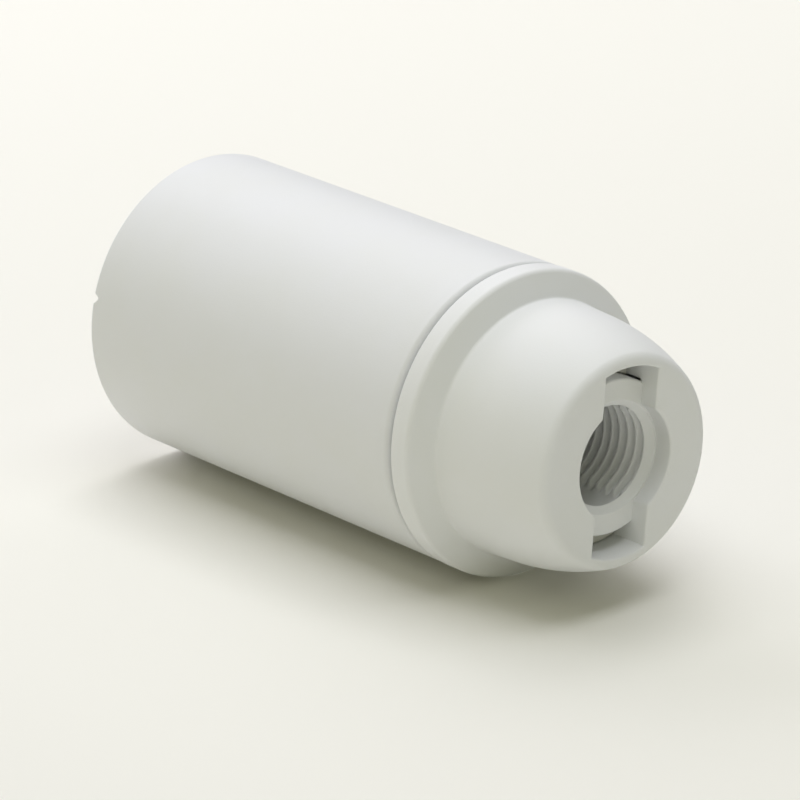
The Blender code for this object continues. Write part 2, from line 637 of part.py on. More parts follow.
def live_strip(finish):
    """Brass strip from the plunger's spring to the live terminal, bent down behind the pillar."""
    half = STRIP_WIDTH / 2
    bm = bmesh.new()
    around_eye = arc((0, 0), half, 90, 270, SMALL_SEGMENTS // 2)
    eye = [bm.verts.new((x, y, STRIP_FOOT)) for x, y in around_eye]
    right, left, far_left, far_right = [
        bm.verts.new((x, y, STRIP_FOOT))
        for x, y in ((TAB_INNER, -half), (TAB_INNER, half), (TAB_OUTER, half), (TAB_OUTER, -half))
    ]
    flat = bm.faces.new(eye + [right, left])
    bend = bm.faces.new([right, far_right, far_left, left])
    extrude(bm, [flat, bend], (0, 0, STRIP_THICKNESS))
    extrude(bm, [bend], (0, 0, PILLAR_FOOT - STRIP_FOOT))
    bmesh.ops.delete(bm, geom=[bend], context="FACES_ONLY")
    bmesh.ops.recalc_face_normals(bm, faces=bm.faces)
    strip = object_from("live_strip", bm, finish)
    hole = cylinder_mesh(STEM_RADIUS + HOLE_GAP, STRIP_FOOT - PAST, STRIP_TOP + PAST)
    boolean(strip, object_from("strip_hole", hole))
    return strip


def terminal(name, side, finish):
    """Brass pillar with a hole for the wire from above and a hole for the screw from the side."""
    low, high = sorted((side * PILLAR_INNER, side * PILLAR_OUTER))
    body = box_mesh((low, -PILLAR_WIDTH / 2, PILLAR_FOOT), (high, PILLAR_WIDTH / 2, PILLAR_TOP))
    pillar = object_from(f"{name}_terminal", body, finish)
    bevel(pillar, PILLAR_EDGE)
    middle = (low + high) / 2
    wire_hole = cylinder_mesh(WIRE_HOLE_RADIUS, PILLAR_FOOT - PAST, PILLAR_TOP + PAST, (middle, 0))
    boolean(pillar, object_from(f"{name}_wire_hole", wire_hole))
    bore = cylinder_mesh(SCREW_RADIUS + HOLE_GAP, 0, PILLAR_LENGTH / 2 + PAST)
    across = Matrix.Translation((middle, 0, SCREW_HEIGHT)) @ Matrix.Rotation(side * math.pi / 2, 4, "Y")
    bmesh.ops.transform(bore, matrix=across, verts=bore.verts)
    boolean(pillar, object_from(f"{name}_screw_hole", bore))
    return pillar


def terminal_screw(name, side, finish):
    """Cheese-head screw drawn along Z at its own origin, then laid on its axis."""
    shank = PILLAR_LENGTH / 2 + 2 * SEAT_GAP
    head = SCREW_HEAD_THICKNESS
    point = SCREW_RADIUS - SCREW_EDGE
    outline = [(0, -shank), (point, -shank), (SCREW_RADIUS, SCREW_EDGE - shank), (SCREW_RADIUS, 0)]
    outline += [(SCREW_HEAD_RADIUS, 0), (SCREW_HEAD_RADIUS, head - SCREW_EDGE)]
    outline += [(SCREW_HEAD_RADIUS - SCREW_EDGE, head), (0, head)]
    screw = object_from(f"{name}_terminal_screw", turned_mesh(outline, SMALL_SEGMENTS, ring=False), finish)
    slot = box_mesh(
        (-SCREW_SLOT_WIDTH / 2, -SCREW_HEAD_RADIUS - PAST, head - SCREW_SLOT_DEPTH),
        (SCREW_SLOT_WIDTH / 2, SCREW_HEAD_RADIUS + PAST, head + PAST),
    )
    cutter = object_from(f"{name}_driver_slot", slot, smooth=False)
    boolean(screw, cutter)
    seat = Matrix.Translation((side * HEAD_SEAT * MM, 0, SCREW_HEIGHT * MM))
    for piece in (screw, cutter):
        piece.matrix_world = seat @ Matrix.Rotation(side * math.pi / 2, 4, "Y")
    return screw


def main():
    clear_scene()
    white = material("white_plastic", (0.83, 0.84, 0.83), 0.5)
    ivory = material("insulating_plastic", (0.80, 0.80, 0.77), 0.55)
    nickel = material("nickel_plate", (0.66, 0.63, 0.57), 0.3, 1.0)
    brass = material("brass", (0.76, 0.58, 0.28), 0.32, 1.0)
    steel = material("zinc_steel", (0.62, 0.63, 0.64), 0.38, 1.0)
    outer_skirt(white)
    dome_cap(white)
    terminal_block(ivory)
    screw_shell(nickel)
    for number, side in enumerate((1, -1), 1):
        shell_rivet(number, side, nickel)
    centre_plunger(nickel)
    plunger_clip(steel)
    plunger_spring(steel)
    live_strip(brass)
    for name, side in TERMINAL_SIDES.items():
        terminal(name, side, brass)
        terminal_screw(name, side, steel)


main()
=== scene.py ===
"""The looks of a small white lamp holder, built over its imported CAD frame.

The holder stands on the open rim of its skirt in the frame, with +Z along its axis to the
threaded entry. In the picture it lies on its side, so the floor is a plane along its skirt.
Outlines are pairs of radius and height in millimetres, and become metres in finished_piece().
"""

import math
from functools import partial

import bmesh
import bpy
from mathutils import Matrix, Quaternion, Vector


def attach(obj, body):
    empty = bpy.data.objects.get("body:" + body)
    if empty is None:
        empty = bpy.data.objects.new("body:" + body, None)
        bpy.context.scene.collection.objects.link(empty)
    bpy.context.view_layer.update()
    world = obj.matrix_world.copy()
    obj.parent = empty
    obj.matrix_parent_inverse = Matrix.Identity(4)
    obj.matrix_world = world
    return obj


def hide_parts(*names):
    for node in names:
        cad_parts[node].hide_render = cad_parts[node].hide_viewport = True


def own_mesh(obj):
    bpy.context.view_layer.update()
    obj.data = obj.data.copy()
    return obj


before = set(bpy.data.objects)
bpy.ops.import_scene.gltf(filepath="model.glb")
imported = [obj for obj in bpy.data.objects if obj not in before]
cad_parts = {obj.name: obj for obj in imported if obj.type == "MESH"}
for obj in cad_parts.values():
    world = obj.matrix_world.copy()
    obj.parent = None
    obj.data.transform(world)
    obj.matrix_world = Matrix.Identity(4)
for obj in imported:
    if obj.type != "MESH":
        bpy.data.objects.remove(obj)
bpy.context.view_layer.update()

MM = 0.001
PAST = 1.0  # how far a cutter reaches past the face that it cuts
SIDES = (1, -1)

# Skirt
SKIRT_RADIUS = 13.75
SKIRT_LENGTH = 40.6
SKIRT_BORE = 12.3
MOUTH_BORE = 12.0
SHOULDER_BORE = 11.0
SHOULDER_FOOT = 25.4
SHOULDER_TOP = 27.2
RIM_ROUND = 0.35
TOP_ROUND = 0.5
KEY_ANGLES = (45, 225)
KEY_WIDTH = 1.4
KEY_DEPTH = 0.9
NICK_ANGLE = 171.6
NICK_WIDTH = 1.25
NICK_DEPTH = 0.95
NICK_REACH = 1.1
NICK_LEAN = -0.15

# Cap
TOTAL_LENGTH = 55.5
SPIGOT_FOOT = 36.5
SPIGOT_RADIUS = 12.0
SPIGOT_WALL = 1.5
SEAT_HEIGHT = 40.9
SEAT_RADIUS = 13.0
FLANGE_RADIUS = 13.8
FLANGE_FOOT = 41.1
FLANGE_TOP = 43.1
FLANGE_ROUND = 0.55
DOME_FOOT = 44.15
DOME_FOOT_RADIUS = 11.46
DOME_STRAIGHT = 3.3
DOME_TAPER = 0.05
END_FACE_RADIUS = 9.35
END_ROUND = 1.1
INNER_CEILING = 53.4
INNER_FOOT_RADIUS = 9.71
INNER_TOP_RADIUS = 9.41
LATCH_FOOT = 46.7
LATCH_TOP = 49.0
LATCH_INNER = 7.7
LATCH_REACH = 10.1
COLLAR_RADIUS = 6.87
COLLAR_FOOT = 45.0
ENTRY_FLOOR = 53.7
ENTRY_RADIUS = 5.25
SLOT_WIDTH = 6.1
SLOT_REACH = 8.5
SLOT_FOOT = 51.3
GUIDE_FOOT = 51.5
GUIDE_WALL = 0.8
COLLAR_LIP = 0.08
THREAD_CORE_RADIUS = 4.46
THREAD_MAJOR_RADIUS = 5.0
THREAD_PITCH = 1.0
THREAD_CHAMFER = 0.62
THREAD_SECTOR = 102.0
THREAD_SECTOR_MIDDLE = -5.0

# Screw shell
SHELL_FOOT = 10.5
SHELL_TOP = 27.2
SHELL_LIP = 1.3
SHELL_GROOVE_RADIUS = 7.0
SHELL_CREST_RADIUS = 6.2
SHELL_PITCH = 2.82
SHELL_SHEET = 0.35
SHELL_FLANGE_BORE = 3.6
TAB_INNER = 4.6
TAB_OUTER = 5.1
TAB_WIDTH = 4.0
RIVET_CIRCLE = 5.05
RIVET_RADIUS = 0.9
RIVET_HEAD_RADIUS = 1.2
RIVET_BORE_RADIUS = 0.45

# Terminal block
BLOCK_FOOT = 27.5
BLOCK_TOP = 36.2
BLOCK_RADIUS = 12.0
SLEEVE_FOOT = 9.5
SLEEVE_BORE = 7.65
SLEEVE_RADIUS = 8.85
CONTACT_BORE_RADIUS = 2.7
STEM_HOLE_RADIUS = 1.45
STRIP_SLOT_FOOT = 32.4
STRIP_SLOT_TOP = 33.3
WEB_TOP = 30.5
POCKET_FLOOR = 29.5
POCKET_INNER = 4.3
POCKET_WIDTH = 7.2
CLIP_RECESS_FLOOR = 34.6
CLIP_RECESS_RADIUS = 3.0
CORE_INNER = 3.7
CORE_OUTER = 7.4
CORE_WIDTH = 6.0
BARRIER_THICKNESS = 1.2
BARRIER_FOOT = 32.5
BARRIER_TOP = 40.0
ARCH_TOP = 38.4
ARM_WIDTH = 5.4
ARM_INNER = 7.7
ARM_OUTER = 8.7
HOOK_TOP = 48.7
HOOK_HEIGHT = 1.7
HOOK_DEPTH = 1.1
TIP_TOP = 51.8
TIP_PLAY = 0.08

# Contacts and terminals
BUTTON_TIP = 25.4
BUTTON_TOP = 27.0
BUTTON_RADIUS = 2.3
STEM_RADIUS = 1.1
STEM_TOP = 36.0
CLIP_FOOT = 34.9
CLIP_TOP = 35.3
CLIP_RADIUS = 2.1
SPRING_RADIUS = 2.0
SPRING_WIRE_RADIUS = 0.22
SPRING_TURNS = 5
STRIP_FOOT = 32.6
STRIP_TOP = 33.1
STRIP_WIDTH = 3.8
PILLAR_INNER = 5.4
PILLAR_OUTER = 9.6
PILLAR_WIDTH = 6.4
PILLAR_FOOT = 29.8
PILLAR_TOP = 35.6
WIRE_HOLE_RADIUS = 1.35
SCREW_HEIGHT = 32.7
SCREW_SEAT = 9.9
SCREW_RADIUS = 1.25
SCREW_PITCH = 0.45
SCREW_THREAD_DEPTH = 0.2
SCREW_HEAD_RADIUS = 2.1
SCREW_HEAD_THICKNESS = 1.4
SCREW_SLOT_WIDTH = 0.6
SCREW_SLOT_DEPTH = 0.7
TERMINAL_SIDES = {"live": 1, "neutral": -1}

# Facets and edges
CAP_SEGMENTS = 192
SKIRT_SEGMENTS = 192
BLOCK_SEGMENTS = 128
SMALL_SEGMENTS = 64
EDGE_ROUND = 0.2
CORNER_ROUND = 0.3
FINE_ROUND = 0.15
SHARP_ANGLE = math.radians(38)
FLAT_ANGLE = math.radians(0.6)

# Room that a piece leaves round another, and how near points are welded
PLAY = 0.2
CLEARANCE = 0.3
WELD = 1e-4
CUT_WELD = 2e-4
SCREW_WELD = 1e-3
SEAM_WELD = 2e-3

# Finishes: name, relief in metres, then the inputs of the skin group in their order
WHITE_SURFACE = (0.007, 0.6, 0.00016, 0.5, 0.12)
MOULDINGS = (
    ("white_skirt", 6e-6, (0.785, 0.795, 0.82, 1), (0.775, 0.785, 0.79, 1), *WHITE_SURFACE),
    ("white_cap", 6e-6, (0.82, 0.83, 0.85, 1), (0.81, 0.82, 0.82, 1), *WHITE_SURFACE),
    ("ivory_moulding", 8e-6, (0.76, 0.755, 0.71, 1), (0.72, 0.71, 0.65, 1),
     0.005, 0.7, 0.0002, 0.55, 0.14),
)
METALS = (
    ("nickel_plate", 4e-6, (0.70, 0.665, 0.60, 1), (0.45, 0.40, 0.33, 1),
     0.0025, 0.35, (700.0, 700.0, 14000.0), 0.24, 0.18),
    ("stamped_brass", 5e-6, (0.78, 0.59, 0.29, 1), (0.46, 0.31, 0.14, 1),
     0.0018, 0.45, (9000.0, 700.0, 700.0), 0.3, 0.2),
    ("zinc_steel", 4e-6, (0.63, 0.65, 0.67, 1), (0.42, 0.42, 0.40, 1),
     0.0012, 0.4, (5000.0, 5000.0, 5000.0), 0.32, 0.2),
)

# What each kind of node tree gives
TREE_RESULTS = {
    "GeometryNodeTree": {"Geometry": "Geometry"},
    "ShaderNodeTree": {"Colour": "Color", "Roughness": "Float", "Height": "Float"},
}

# Picture: the camera, the floor that the holder lies on, and directions from the lying holder
CAMERA_PLACE = (-0.30814, 0.13752, 0.36164)
VIEW_DIRECTION = (0.64736, -0.29373, -0.70332)
CAMERA_ROLL = 111.70
LENS_MM = 242.7
UP = Vector((-0.08893, 0.99604, 0.0)).normalized()
ALONG = Vector((0, 0, 1))
ACROSS = UP.cross(ALONG)
HOLDER_MIDDLE = Vector((0, 0, 0.028))
FLOOR_DROP = 13.8
FLOOR_SIZE = 1.6
FLOOR_COLOURS = ((0.86, 0.85, 0.80, 1), (0.87, 0.86, 0.815, 1))
FLOOR_GLOW = (0.15, 0.15, 0.13, 1)
GLOW_REACH = 4.0

# Light: each lamp's place in metres across, above and along, its size, watts and colour
SOFTBOXES = {
    "top_softbox": ((0.0, 0.9, 0.0), 0.9, 6.41, (0.95, 0.963, 1.0)),
    "rear_softbox": ((0.3, 0.45, -0.3), 0.45, 0.97, (1.0, 0.97, 0.97)),
    "low_softbox": ((0.0, 0.25, -0.5), 0.45, 1.04, (0.91, 0.89, 1.0)),
}
EVEN_AIR = (0.086, 0.084, 0.062, 1)
SIDE_AIR = ((ALONG, (0.156, 0.166, 0.114, 1)), (-ACROSS, (0.346, 0.34, 0.226, 1)))
SEEN_AIR = (0.90, 0.90, 0.87, 1)


def put(tree, kind, inputs=(), **settings):
    """Adds a node. A value given for an input is a number, a colour or another node's output."""
    node = tree.nodes.new(kind)
    for name, value in settings.items():
        setattr(node, name, value)
    for key, value in dict(inputs).items():
        if isinstance(value, bpy.types.NodeSocket):
            tree.links.new(value, node.inputs[key])
        else:
            node.inputs[key].default_value = value
    return node


def out(tree, kind, inputs=(), **settings):
    """Adds a node and gives its first output."""
    return put(tree, kind, inputs, **settings).outputs[0]


def calc(operation, *values):
    """A sum on numbers and nodes' outputs, as a node in their tree."""
    tree = next(value.id_data for value in values if isinstance(value, bpy.types.NodeSocket))
    return out(tree, "ShaderNodeMath", enumerate(values), operation=operation)


plus = partial(calc, "ADD")
minus = partial(calc, "SUBTRACT")
times = partial(calc, "MULTIPLY")
over = partial(calc, "DIVIDE")


def noise(place, scale, detail):
    values = {"Vector": place, "Scale": scale, "Detail": detail}
    return out(place.id_data, "ShaderNodeTexNoise", values)


def ranged(value, low, high, interpolation="LINEAR"):
    """Where the value lies between two limits, from 0 to 1."""
    values = {"Value": value, "From Min": low, "From Max": high}
    kind = "ShaderNodeMapRange"
    return out(value.id_data, kind, values, interpolation_type=interpolation)


def own_place(tree):
    """A piece's own coordinates, in metres of the frame."""
    return put(tree, "ShaderNodeTexCoord").outputs["Object"]


def dot(place, direction):
    values = {0: place, 1: direction}
    node = put(place.id_data, "ShaderNodeVectorMath", values, operation="DOT_PRODUCT")
    return node.outputs["Value"]


def polar(radius, angle, height):
    """A place from its distance to the Z axis, its angle round it and its height."""
    x = times(radius, calc("COSINE", angle))
    y = times(radius, calc("SINE", angle))
    return out(angle.id_data, "ShaderNodeCombineXYZ", {"X": x, "Y": y, "Z": height})


def blend(share, first, second):
    """A colour between two, by a share from 0 to 1."""
    values = {0: share, 6: first, 7: second}
    return put(share.id_data, "ShaderNodeMix", values, data_type="RGBA").outputs[2]


def socket_type(value):
    """The kind of socket that holds a default value, or that has the given name."""
    if isinstance(value, str):
        return "NodeSocket" + value
    if isinstance(value, tuple):
        return "NodeSocketColor" if len(value) == 4 else "NodeSocketVector"
    return "NodeSocketInt" if isinstance(value, int) else "NodeSocketFloat"


def begun(name, kind, given):
    """A node tree with named inputs: (tree, its input sockets, its output sockets)."""
    tree = bpy.data.node_groups.new(name, kind)
    for in_out, sockets in (("INPUT", given), ("OUTPUT", TREE_RESULTS[kind])):
        for title, value in sockets.items():
            held = socket_type(value)
            socket = tree.interface.new_socket(name=title, in_out=in_out, socket_type=held)
            if not isinstance(value, str):
                socket.default_value = value
    inside = tree.nodes.new("NodeGroupInput").outputs
    outside = tree.nodes.new("NodeGroupOutput").inputs
    return tree, inside, outside


def close_tree(tree, geometry, material, outside):
    """Ends a geometry tree: plain faces, smooth, in the given material."""
    plain = out(tree, "GeometryNodeRealizeInstances", {"Geometry": geometry})
    smooth = out(tree, "GeometryNodeSetShadeSmooth", {"Geometry": plain})
    done = out(tree, "GeometryNodeSetMaterial", {"Geometry": smooth, "Material": material})
    tree.links.new(done, outside["Geometry"])
    return tree


def threaded_wall_tree():
    """A wall round the axis whose radius follows a screw thread, with a run-out at both ends.

    The thread stands on two opposite sectors. Between them the wall is plain, at the thread's root.
    """
    sockets = {
        "Radius": 5.0,
        "Depth": 0.5,
        "Pitch": 1.0,
        "Foot": 0.0,
        "Length": 8.0,
        "Run-out": 0.8,
        "Crest Flat": 0.2,
        "Root Flat": 0.1,
        "Roundness": 0.5,
        "Sector": 180.0,
        "Sector Middle": 0.0,
        "Segments": 192,
        "Rings": 100,
        "Finish": "Material",
    }
    tree, given, outside = begun("threaded_wall", "GeometryNodeTree", sockets)
    columns = plus(given["Segments"], 1)
    sizes = {"Size X": 1.0, "Size Y": 1.0, "Vertices X": columns, "Vertices Y": given["Rings"]}
    grid = out(tree, "GeometryNodeMeshGrid", sizes)
    flat_place = out(tree, "GeometryNodeInputPosition")
    split = put(tree, "ShaderNodeSeparateXYZ", {0: flat_place}).outputs
    lap = plus(plus(split["X"], 0.5), over(0.5, given["Segments"]))
    rise = times(plus(split["Y"], 0.5), given["Length"])
    height = plus(given["Foot"], rise)
    phase = minus(over(height, given["Pitch"]), lap)
    off_middle = minus(calc("FRACT", phase), 0.5)
    ramp = minus(1.0, times(calc("ABSOLUTE", off_middle), 2.0))
    limits = (given["Crest Flat"], minus(1.0, given["Root Flat"]))
    straight = ranged(ramp, *limits)
    curved = ranged(ramp, *limits, "SMOOTHSTEP")
    wave = out(tree, "ShaderNodeMix", {0: given["Roundness"], 2: straight, 3: curved})
    sector_middle = over(given["Sector Middle"], 180.0)
    from_middle = plus(minus(times(lap, 2.0), sector_middle), 0.5)
    off_sector = calc("ABSOLUTE", minus(calc("FRACT", from_middle), 0.5))
    sector_edge = over(given["Sector"], 360.0)
    faded_out = plus(sector_edge, 0.05)
    plain = ranged(off_sector, sector_edge, faded_out, "SMOOTHSTEP")
    wave = calc("MAXIMUM", wave, plain)
    nearest = calc("MINIMUM", rise, minus(given["Length"], rise))
    fade = ranged(nearest, 0.0, given["Run-out"], "SMOOTHSTEP")
    cut = times(times(given["Depth"], wave), fade)
    radius = plus(given["Radius"], cut)
    wrapped = polar(radius, times(lap, 2 * math.pi), height)
    wall = out(tree, "GeometryNodeSetPosition", {"Geometry": grid, "Position": wrapped})
    closed = out(tree, "GeometryNodeMergeByDistance", {"Geometry": wall, "Distance": 0.001})
    return close_tree(tree, closed, given["Finish"], outside)


def coil_spring_tree():
    """Round wire wound on a circle, with its first and last turns closed up."""
    sockets = {
        "Coil Radius": 2.0,
        "Wire Radius": 0.2,
        "Turns": 5.0,
        "Foot": 0.0,
        "Length": 5.0,
        "Closing": 0.045,
        "Steps": 200,
        "Wire Facets": 14,
        "Finish": "Material",
    }
    tree, given, outside = begun("coil_spring", "GeometryNodeTree", sockets)
    line = out(tree, "GeometryNodeCurvePrimitiveLine", {"End": (0.0, 0.0, 1.0)})
    fine = out(tree, "GeometryNodeResampleCurve", {"Curve": line, "Count": given["Steps"]})
    share = put(tree, "GeometryNodeSplineParameter").outputs["Factor"]
    angle = times(times(share, given["Turns"]), 2 * math.pi)
    lag = calc("SINE", times(share, 2 * math.pi))
    climb = minus(share, times(lag, given["Closing"]))
    height = plus(given["Foot"], times(climb, given["Length"]))
    place = polar(given["Coil Radius"], angle, height)
    coil = out(tree, "GeometryNodeSetPosition", {"Geometry": fine, "Position": place})
    section = {"Resolution": given["Wire Facets"], "Radius": given["Wire Radius"]}
    wire = out(tree, "GeometryNodeCurvePrimitiveCircle", section)
    sweep = {"Curve": coil, "Profile Curve": wire, "Fill Caps": True}
    swept = out(tree, "GeometryNodeCurveToMesh", sweep)
    return close_tree(tree, swept, given["Finish"], outside)


def set_fasteners_tree():
    """One fastener set at equal steps along a line, each turned the same way."""
    sockets = {
        "Fastener": "Object",
        "Count": 1,
        "First Place": "Vector",
        "Step": "Vector",
        "Tilt": 0.0,
        "Finish": "Material",
    }
    tree, given, outside = begun("set_fasteners", "GeometryNodeTree", sockets)
    row = {"Count": given["Count"], "Start Location": given["First Place"]}
    line = out(tree, "GeometryNodeMeshLine", {**row, "Offset": given["Step"]})
    drawn = put(tree, "GeometryNodeObjectInfo", {"Object": given["Fastener"]}).outputs["Geometry"]
    tilt = out(tree, "ShaderNodeCombineXYZ", {"Y": given["Tilt"]})
    setting = {"Points": line, "Instance": drawn, "Rotation": tilt}
    placed = out(tree, "GeometryNodeInstanceOnPoints", setting)
    return close_tree(tree, placed, given["Finish"], outside)


def evaluated(holder, **options):
    """The plain mesh of an object with its modifiers applied."""
    bpy.context.view_layer.update()
    depsgraph = bpy.context.evaluated_depsgraph_get()
    return bpy.data.meshes.new_from_object(
        holder.evaluated_get(depsgraph), depsgraph=depsgraph, **options
    )


def grown(tree, **sizes):
    """The plain mesh that a geometry tree makes from named sizes."""
    holder = object_from(bmesh.new())
    modifier = holder.modifiers.new(tree.name, "NODES")
    modifier.node_group = tree
    for item in tree.interface.items_tree:
        key = item.name.lower().replace(" ", "_").replace("-", "_")
        if item.in_out == "INPUT" and key in sizes:
            modifier[item.identifier] = sizes[key]
    holder.update_tag()
    mesh = evaluated(holder)
    bpy.data.objects.remove(holder)
    return mesh


def opened(mesh):
    """A bmesh with what the mesh holds. The mesh is used up."""
    bm = bmesh.new()
    bm.from_mesh(mesh)
    bpy.data.meshes.remove(mesh)
    return bm


def arc(centre, radius, start, end, steps):
    """Points along an arc, with its angles in degrees from the +X side."""
    points = []
    for step in range(steps + 1):
        angle = math.radians(start + (end - start) * step / steps)
        points.append((centre[0] + radius * math.cos(angle), centre[1] + radius * math.sin(angle)))
    return points


def rounded(*corners, steps=4, ring=True):
    """An outline from corners of (radius, height, rounding), with an arc at each rounded one."""
    outline = []
    for index, (x, y, rounding) in enumerate(corners):
        here = Vector((x, y))
        at_end = not ring and index in (0, len(corners) - 1)
        if rounding == 0 or at_end:
            outline.append((x, y))
            continue
        back = (Vector(corners[index - 1][:2]) - here).normalized()
        ahead = (Vector(corners[(index + 1) % len(corners)][:2]) - here).normalized()
        half = back.angle(ahead) / 2
        centre = here + (back + ahead).normalized() * (rounding / math.sin(half))
        first = here + back * (rounding / math.tan(half)) - centre
        last = here + ahead * (rounding / math.tan(half)) - centre
        sweep = math.atan2(first.x * last.y - first.y * last.x, first.dot(last))
        for step in range(steps + 1):
            angle = sweep * step / steps
            cos, sin = math.cos(angle), math.sin(angle)
            across = centre.x + first.x * cos - first.y * sin
            outline.append((across, centre.y + first.x * sin + first.y * cos))
    return outline


def welded(bm, distance):
    bmesh.ops.remove_doubles(bm, verts=bm.verts, dist=distance)
    return bm


def faced(bm):
    """The bmesh with its faces turned outwards."""
    bmesh.ops.recalc_face_normals(bm, faces=bm.faces)
    return bm


def turned(outline, segments, ring=True):
    """A bmesh turned round Z. As in the trees, it begins half a step from the X side."""
    bm = bmesh.new()
    columns = []
    for segment in range(segments):
        angle = 2 * math.pi * (segment + 0.5) / segments
        cos, sin = math.cos(angle), math.sin(angle)
        columns.append([bm.verts.new((radius * cos, radius * sin, z)) for radius, z in outline])
    count = len(outline)
    for here, there in zip(columns, columns[1:] + columns[:1]):
        for index in range(count if ring else count - 1):
            after = (index + 1) % count
            bm.faces.new((here[index], there[index], there[after], here[after]))
    return faced(welded(bm, WELD))


def box(corner, opposite, rounding=0.0):
    """A box between two opposite corners, with its edges rounded where a width is given."""
    pairs = list(zip(corner, opposite))
    low, high = (Vector([pick(pair) for pair in pairs]) for pick in (min, max))
    bm = bmesh.new()
    size = Matrix.Diagonal((*(high - low), 1))
    bmesh.ops.create_cube(bm, size=1, matrix=Matrix.Translation((low + high) / 2) @ size)
    if rounding:
        edges = bm.edges[:]
        bmesh.ops.bevel(bm, geom=edges, offset=rounding, segments=3, profile=0.5, affect="EDGES")
    return bm


def prism(corners, vector):
    """The solid that a flat face through the corners sweeps along the vector."""
    bm = bmesh.new()
    face = bm.faces.new([bm.verts.new(corner) for corner in corners])
    swept = bmesh.ops.extrude_face_region(bm, geom=[face])["geom"]
    moved = [v for v in swept if isinstance(v, bmesh.types.BMVert)]
    bmesh.ops.translate(bm, verts=moved, vec=vector)
    return faced(bm)


def rod(radius, foot, top, place=(0, 0)):
    """A cylinder along Z between two heights."""
    outline = [(0, foot), (radius, foot), (radius, top), (0, top)]
    bm = turned(outline, SMALL_SEGMENTS, ring=False)
    bmesh.ops.translate(bm, verts=bm.verts, vec=(place[0], place[1], 0))
    return bm


def turn(bm, degrees, axis="Z"):
    """Turns a bmesh round an axis through the origin."""
    bmesh.ops.rotate(bm, verts=bm.verts, matrix=Matrix.Rotation(math.radians(degrees), 3, axis))
    return bm


def mesh_from(bm, name="scratch"):
    """A mesh with what the bmesh holds. The bmesh is used up."""
    mesh = bpy.data.meshes.new(name)
    bm.to_mesh(mesh)
    bm.free()
    return mesh


def object_from(bm, name="scratch"):
    """An object with what the bmesh holds. The bmesh is used up."""
    made = bpy.data.objects.new(name, mesh_from(bm, name))
    bpy.context.scene.collection.objects.link(made)
    return made


def joined(body, tools, operation="DIFFERENCE"):
    """The body with each tool cut from it or added to it, as a new bmesh. Both are used up."""
    target = object_from(body)
    used = [object_from(tool) for tool in tools]
    for tool in used:
        modifier = target.modifiers.new("shape", "BOOLEAN")
        modifier.operation = operation
        modifier.solver = "EXACT"
        modifier.object = tool
    bm = opened(evaluated(target))
    for old in (target, *used):
        bpy.data.objects.remove(old)
    return welded(bm, CUT_WELD)


def take_in(bm, other):
    """Puts a second bmesh beside the first, and uses it up."""
    mesh = mesh_from(other)
    bm.from_mesh(mesh)
    bpy.data.meshes.remove(mesh)


def add_mesh(bm, mesh, near=SEAM_WELD):
    """Adds a mesh to an open bmesh whose edge it shares, and closes the two along that edge."""
    bm.from_mesh(mesh)
    bpy.data.meshes.remove(mesh)
    return faced(welded(bm, near))


def flatten_faces(bm):
    """Joins faces that lie in one plane, so that rounding an edge meets no slivers."""
    bmesh.ops.dissolve_limit(bm, angle_limit=FLAT_ANGLE, verts=bm.verts[:], edges=bm.edges[:])


def round_edges(bm, width, least):
    """Rounds the outer edges that are sharper than so many degrees."""
    bm.normal_update()
    outer = [edge for edge in bm.edges if len(edge.link_faces) == 2 and edge.is_convex]
    bmesh.ops.bevel(
        bm,
        geom=[edge for edge in outer if edge.calc_face_angle() >= math.radians(least)],
        offset=width,
        segments=2,
        profile=0.5,
        affect="EDGES",
        clamp_overlap=False,
        loop_slide=True,
    )
    welded(bm, WELD)


def finished_piece(name, bm, finish, body, stands_for, soft_zone=None, weighted=True):
    """Turns a bmesh in millimetres into a piece in metres that rides on its body."""
    bm.normal_update()
    for edge in bm.edges:
        edge.smooth = len(edge.link_faces) == 2 and edge.calc_face_angle() <= SHARP_ANGLE
        if soft_zone and all(soft_zone(v.co) for v in edge.verts):
            edge.smooth = True
    for face in bm.faces:
        face.smooth = True
        face.material_index = 0
    bmesh.ops.scale(bm, vec=(MM, MM, MM), verts=bm.verts)
    piece = object_from(bm, name)
    piece.data.materials.append(finish)
    if weighted:
        piece.modifiers.new("even_shading", "WEIGHTED_NORMAL").keep_sharp = True
        piece.data = evaluated(piece, preserve_all_data_layers=True)
        piece.data.name = name
        piece.modifiers.clear()
    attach(piece, body)
    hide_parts(*stands_for)
    return piece


def close_skin(tree, given, outside, colour, gloss, uneven, height):
    """Ends a skin group. Its gloss swings by its spread with an uneven value."""
    swing = times(minus(uneven, 0.5), given["Gloss Spread"])
    roughness = plus(gloss, swing)
    for title, value in (("Colour", colour), ("Roughness", roughness), ("Height", height)):
        tree.links.new(value, outside[title])
    return tree


def moulded_skin_group():
    """Moulded plastic: soft clouding of the colour, fine spark-eroded grain, uneven gloss."""
    sockets = {
        "Colour": (0.8, 0.8, 0.8, 1),
        "Cloud Colour": (0.75, 0.75, 0.73, 1),
        "Cloud Size": 0.006,
        "Clouding": 0.5,
        "Grain Size": 0.00012,
        "Gloss": 0.45,
        "Gloss Spread": 0.1,
    }
    tree, given, outside = begun("moulded_skin", "ShaderNodeTree", sockets)
    place = own_place(tree)
    cloud_scale = over(1.0, given["Cloud Size"])
    clouds = ranged(noise(place, cloud_scale, 3.0), 0.35, 0.65)
    share = times(clouds, given["Clouding"])
    colour = blend(share, given["Colour"], given["Cloud Colour"])
    grain_scale = over(1.0, given["Grain Size"])
    pits = out(tree, "ShaderNodeTexVoronoi", {"Vector": place, "Scale": grain_scale})
    fine = noise(place, times(grain_scale, 1.7), 2.0)
    height = plus(times(pits, 0.5), times(fine, 0.5))
    uneven = noise(place, times(cloud_scale, 2.3), 4.0)
    return close_skin(tree, given, outside, colour, given["Gloss"], uneven, height)


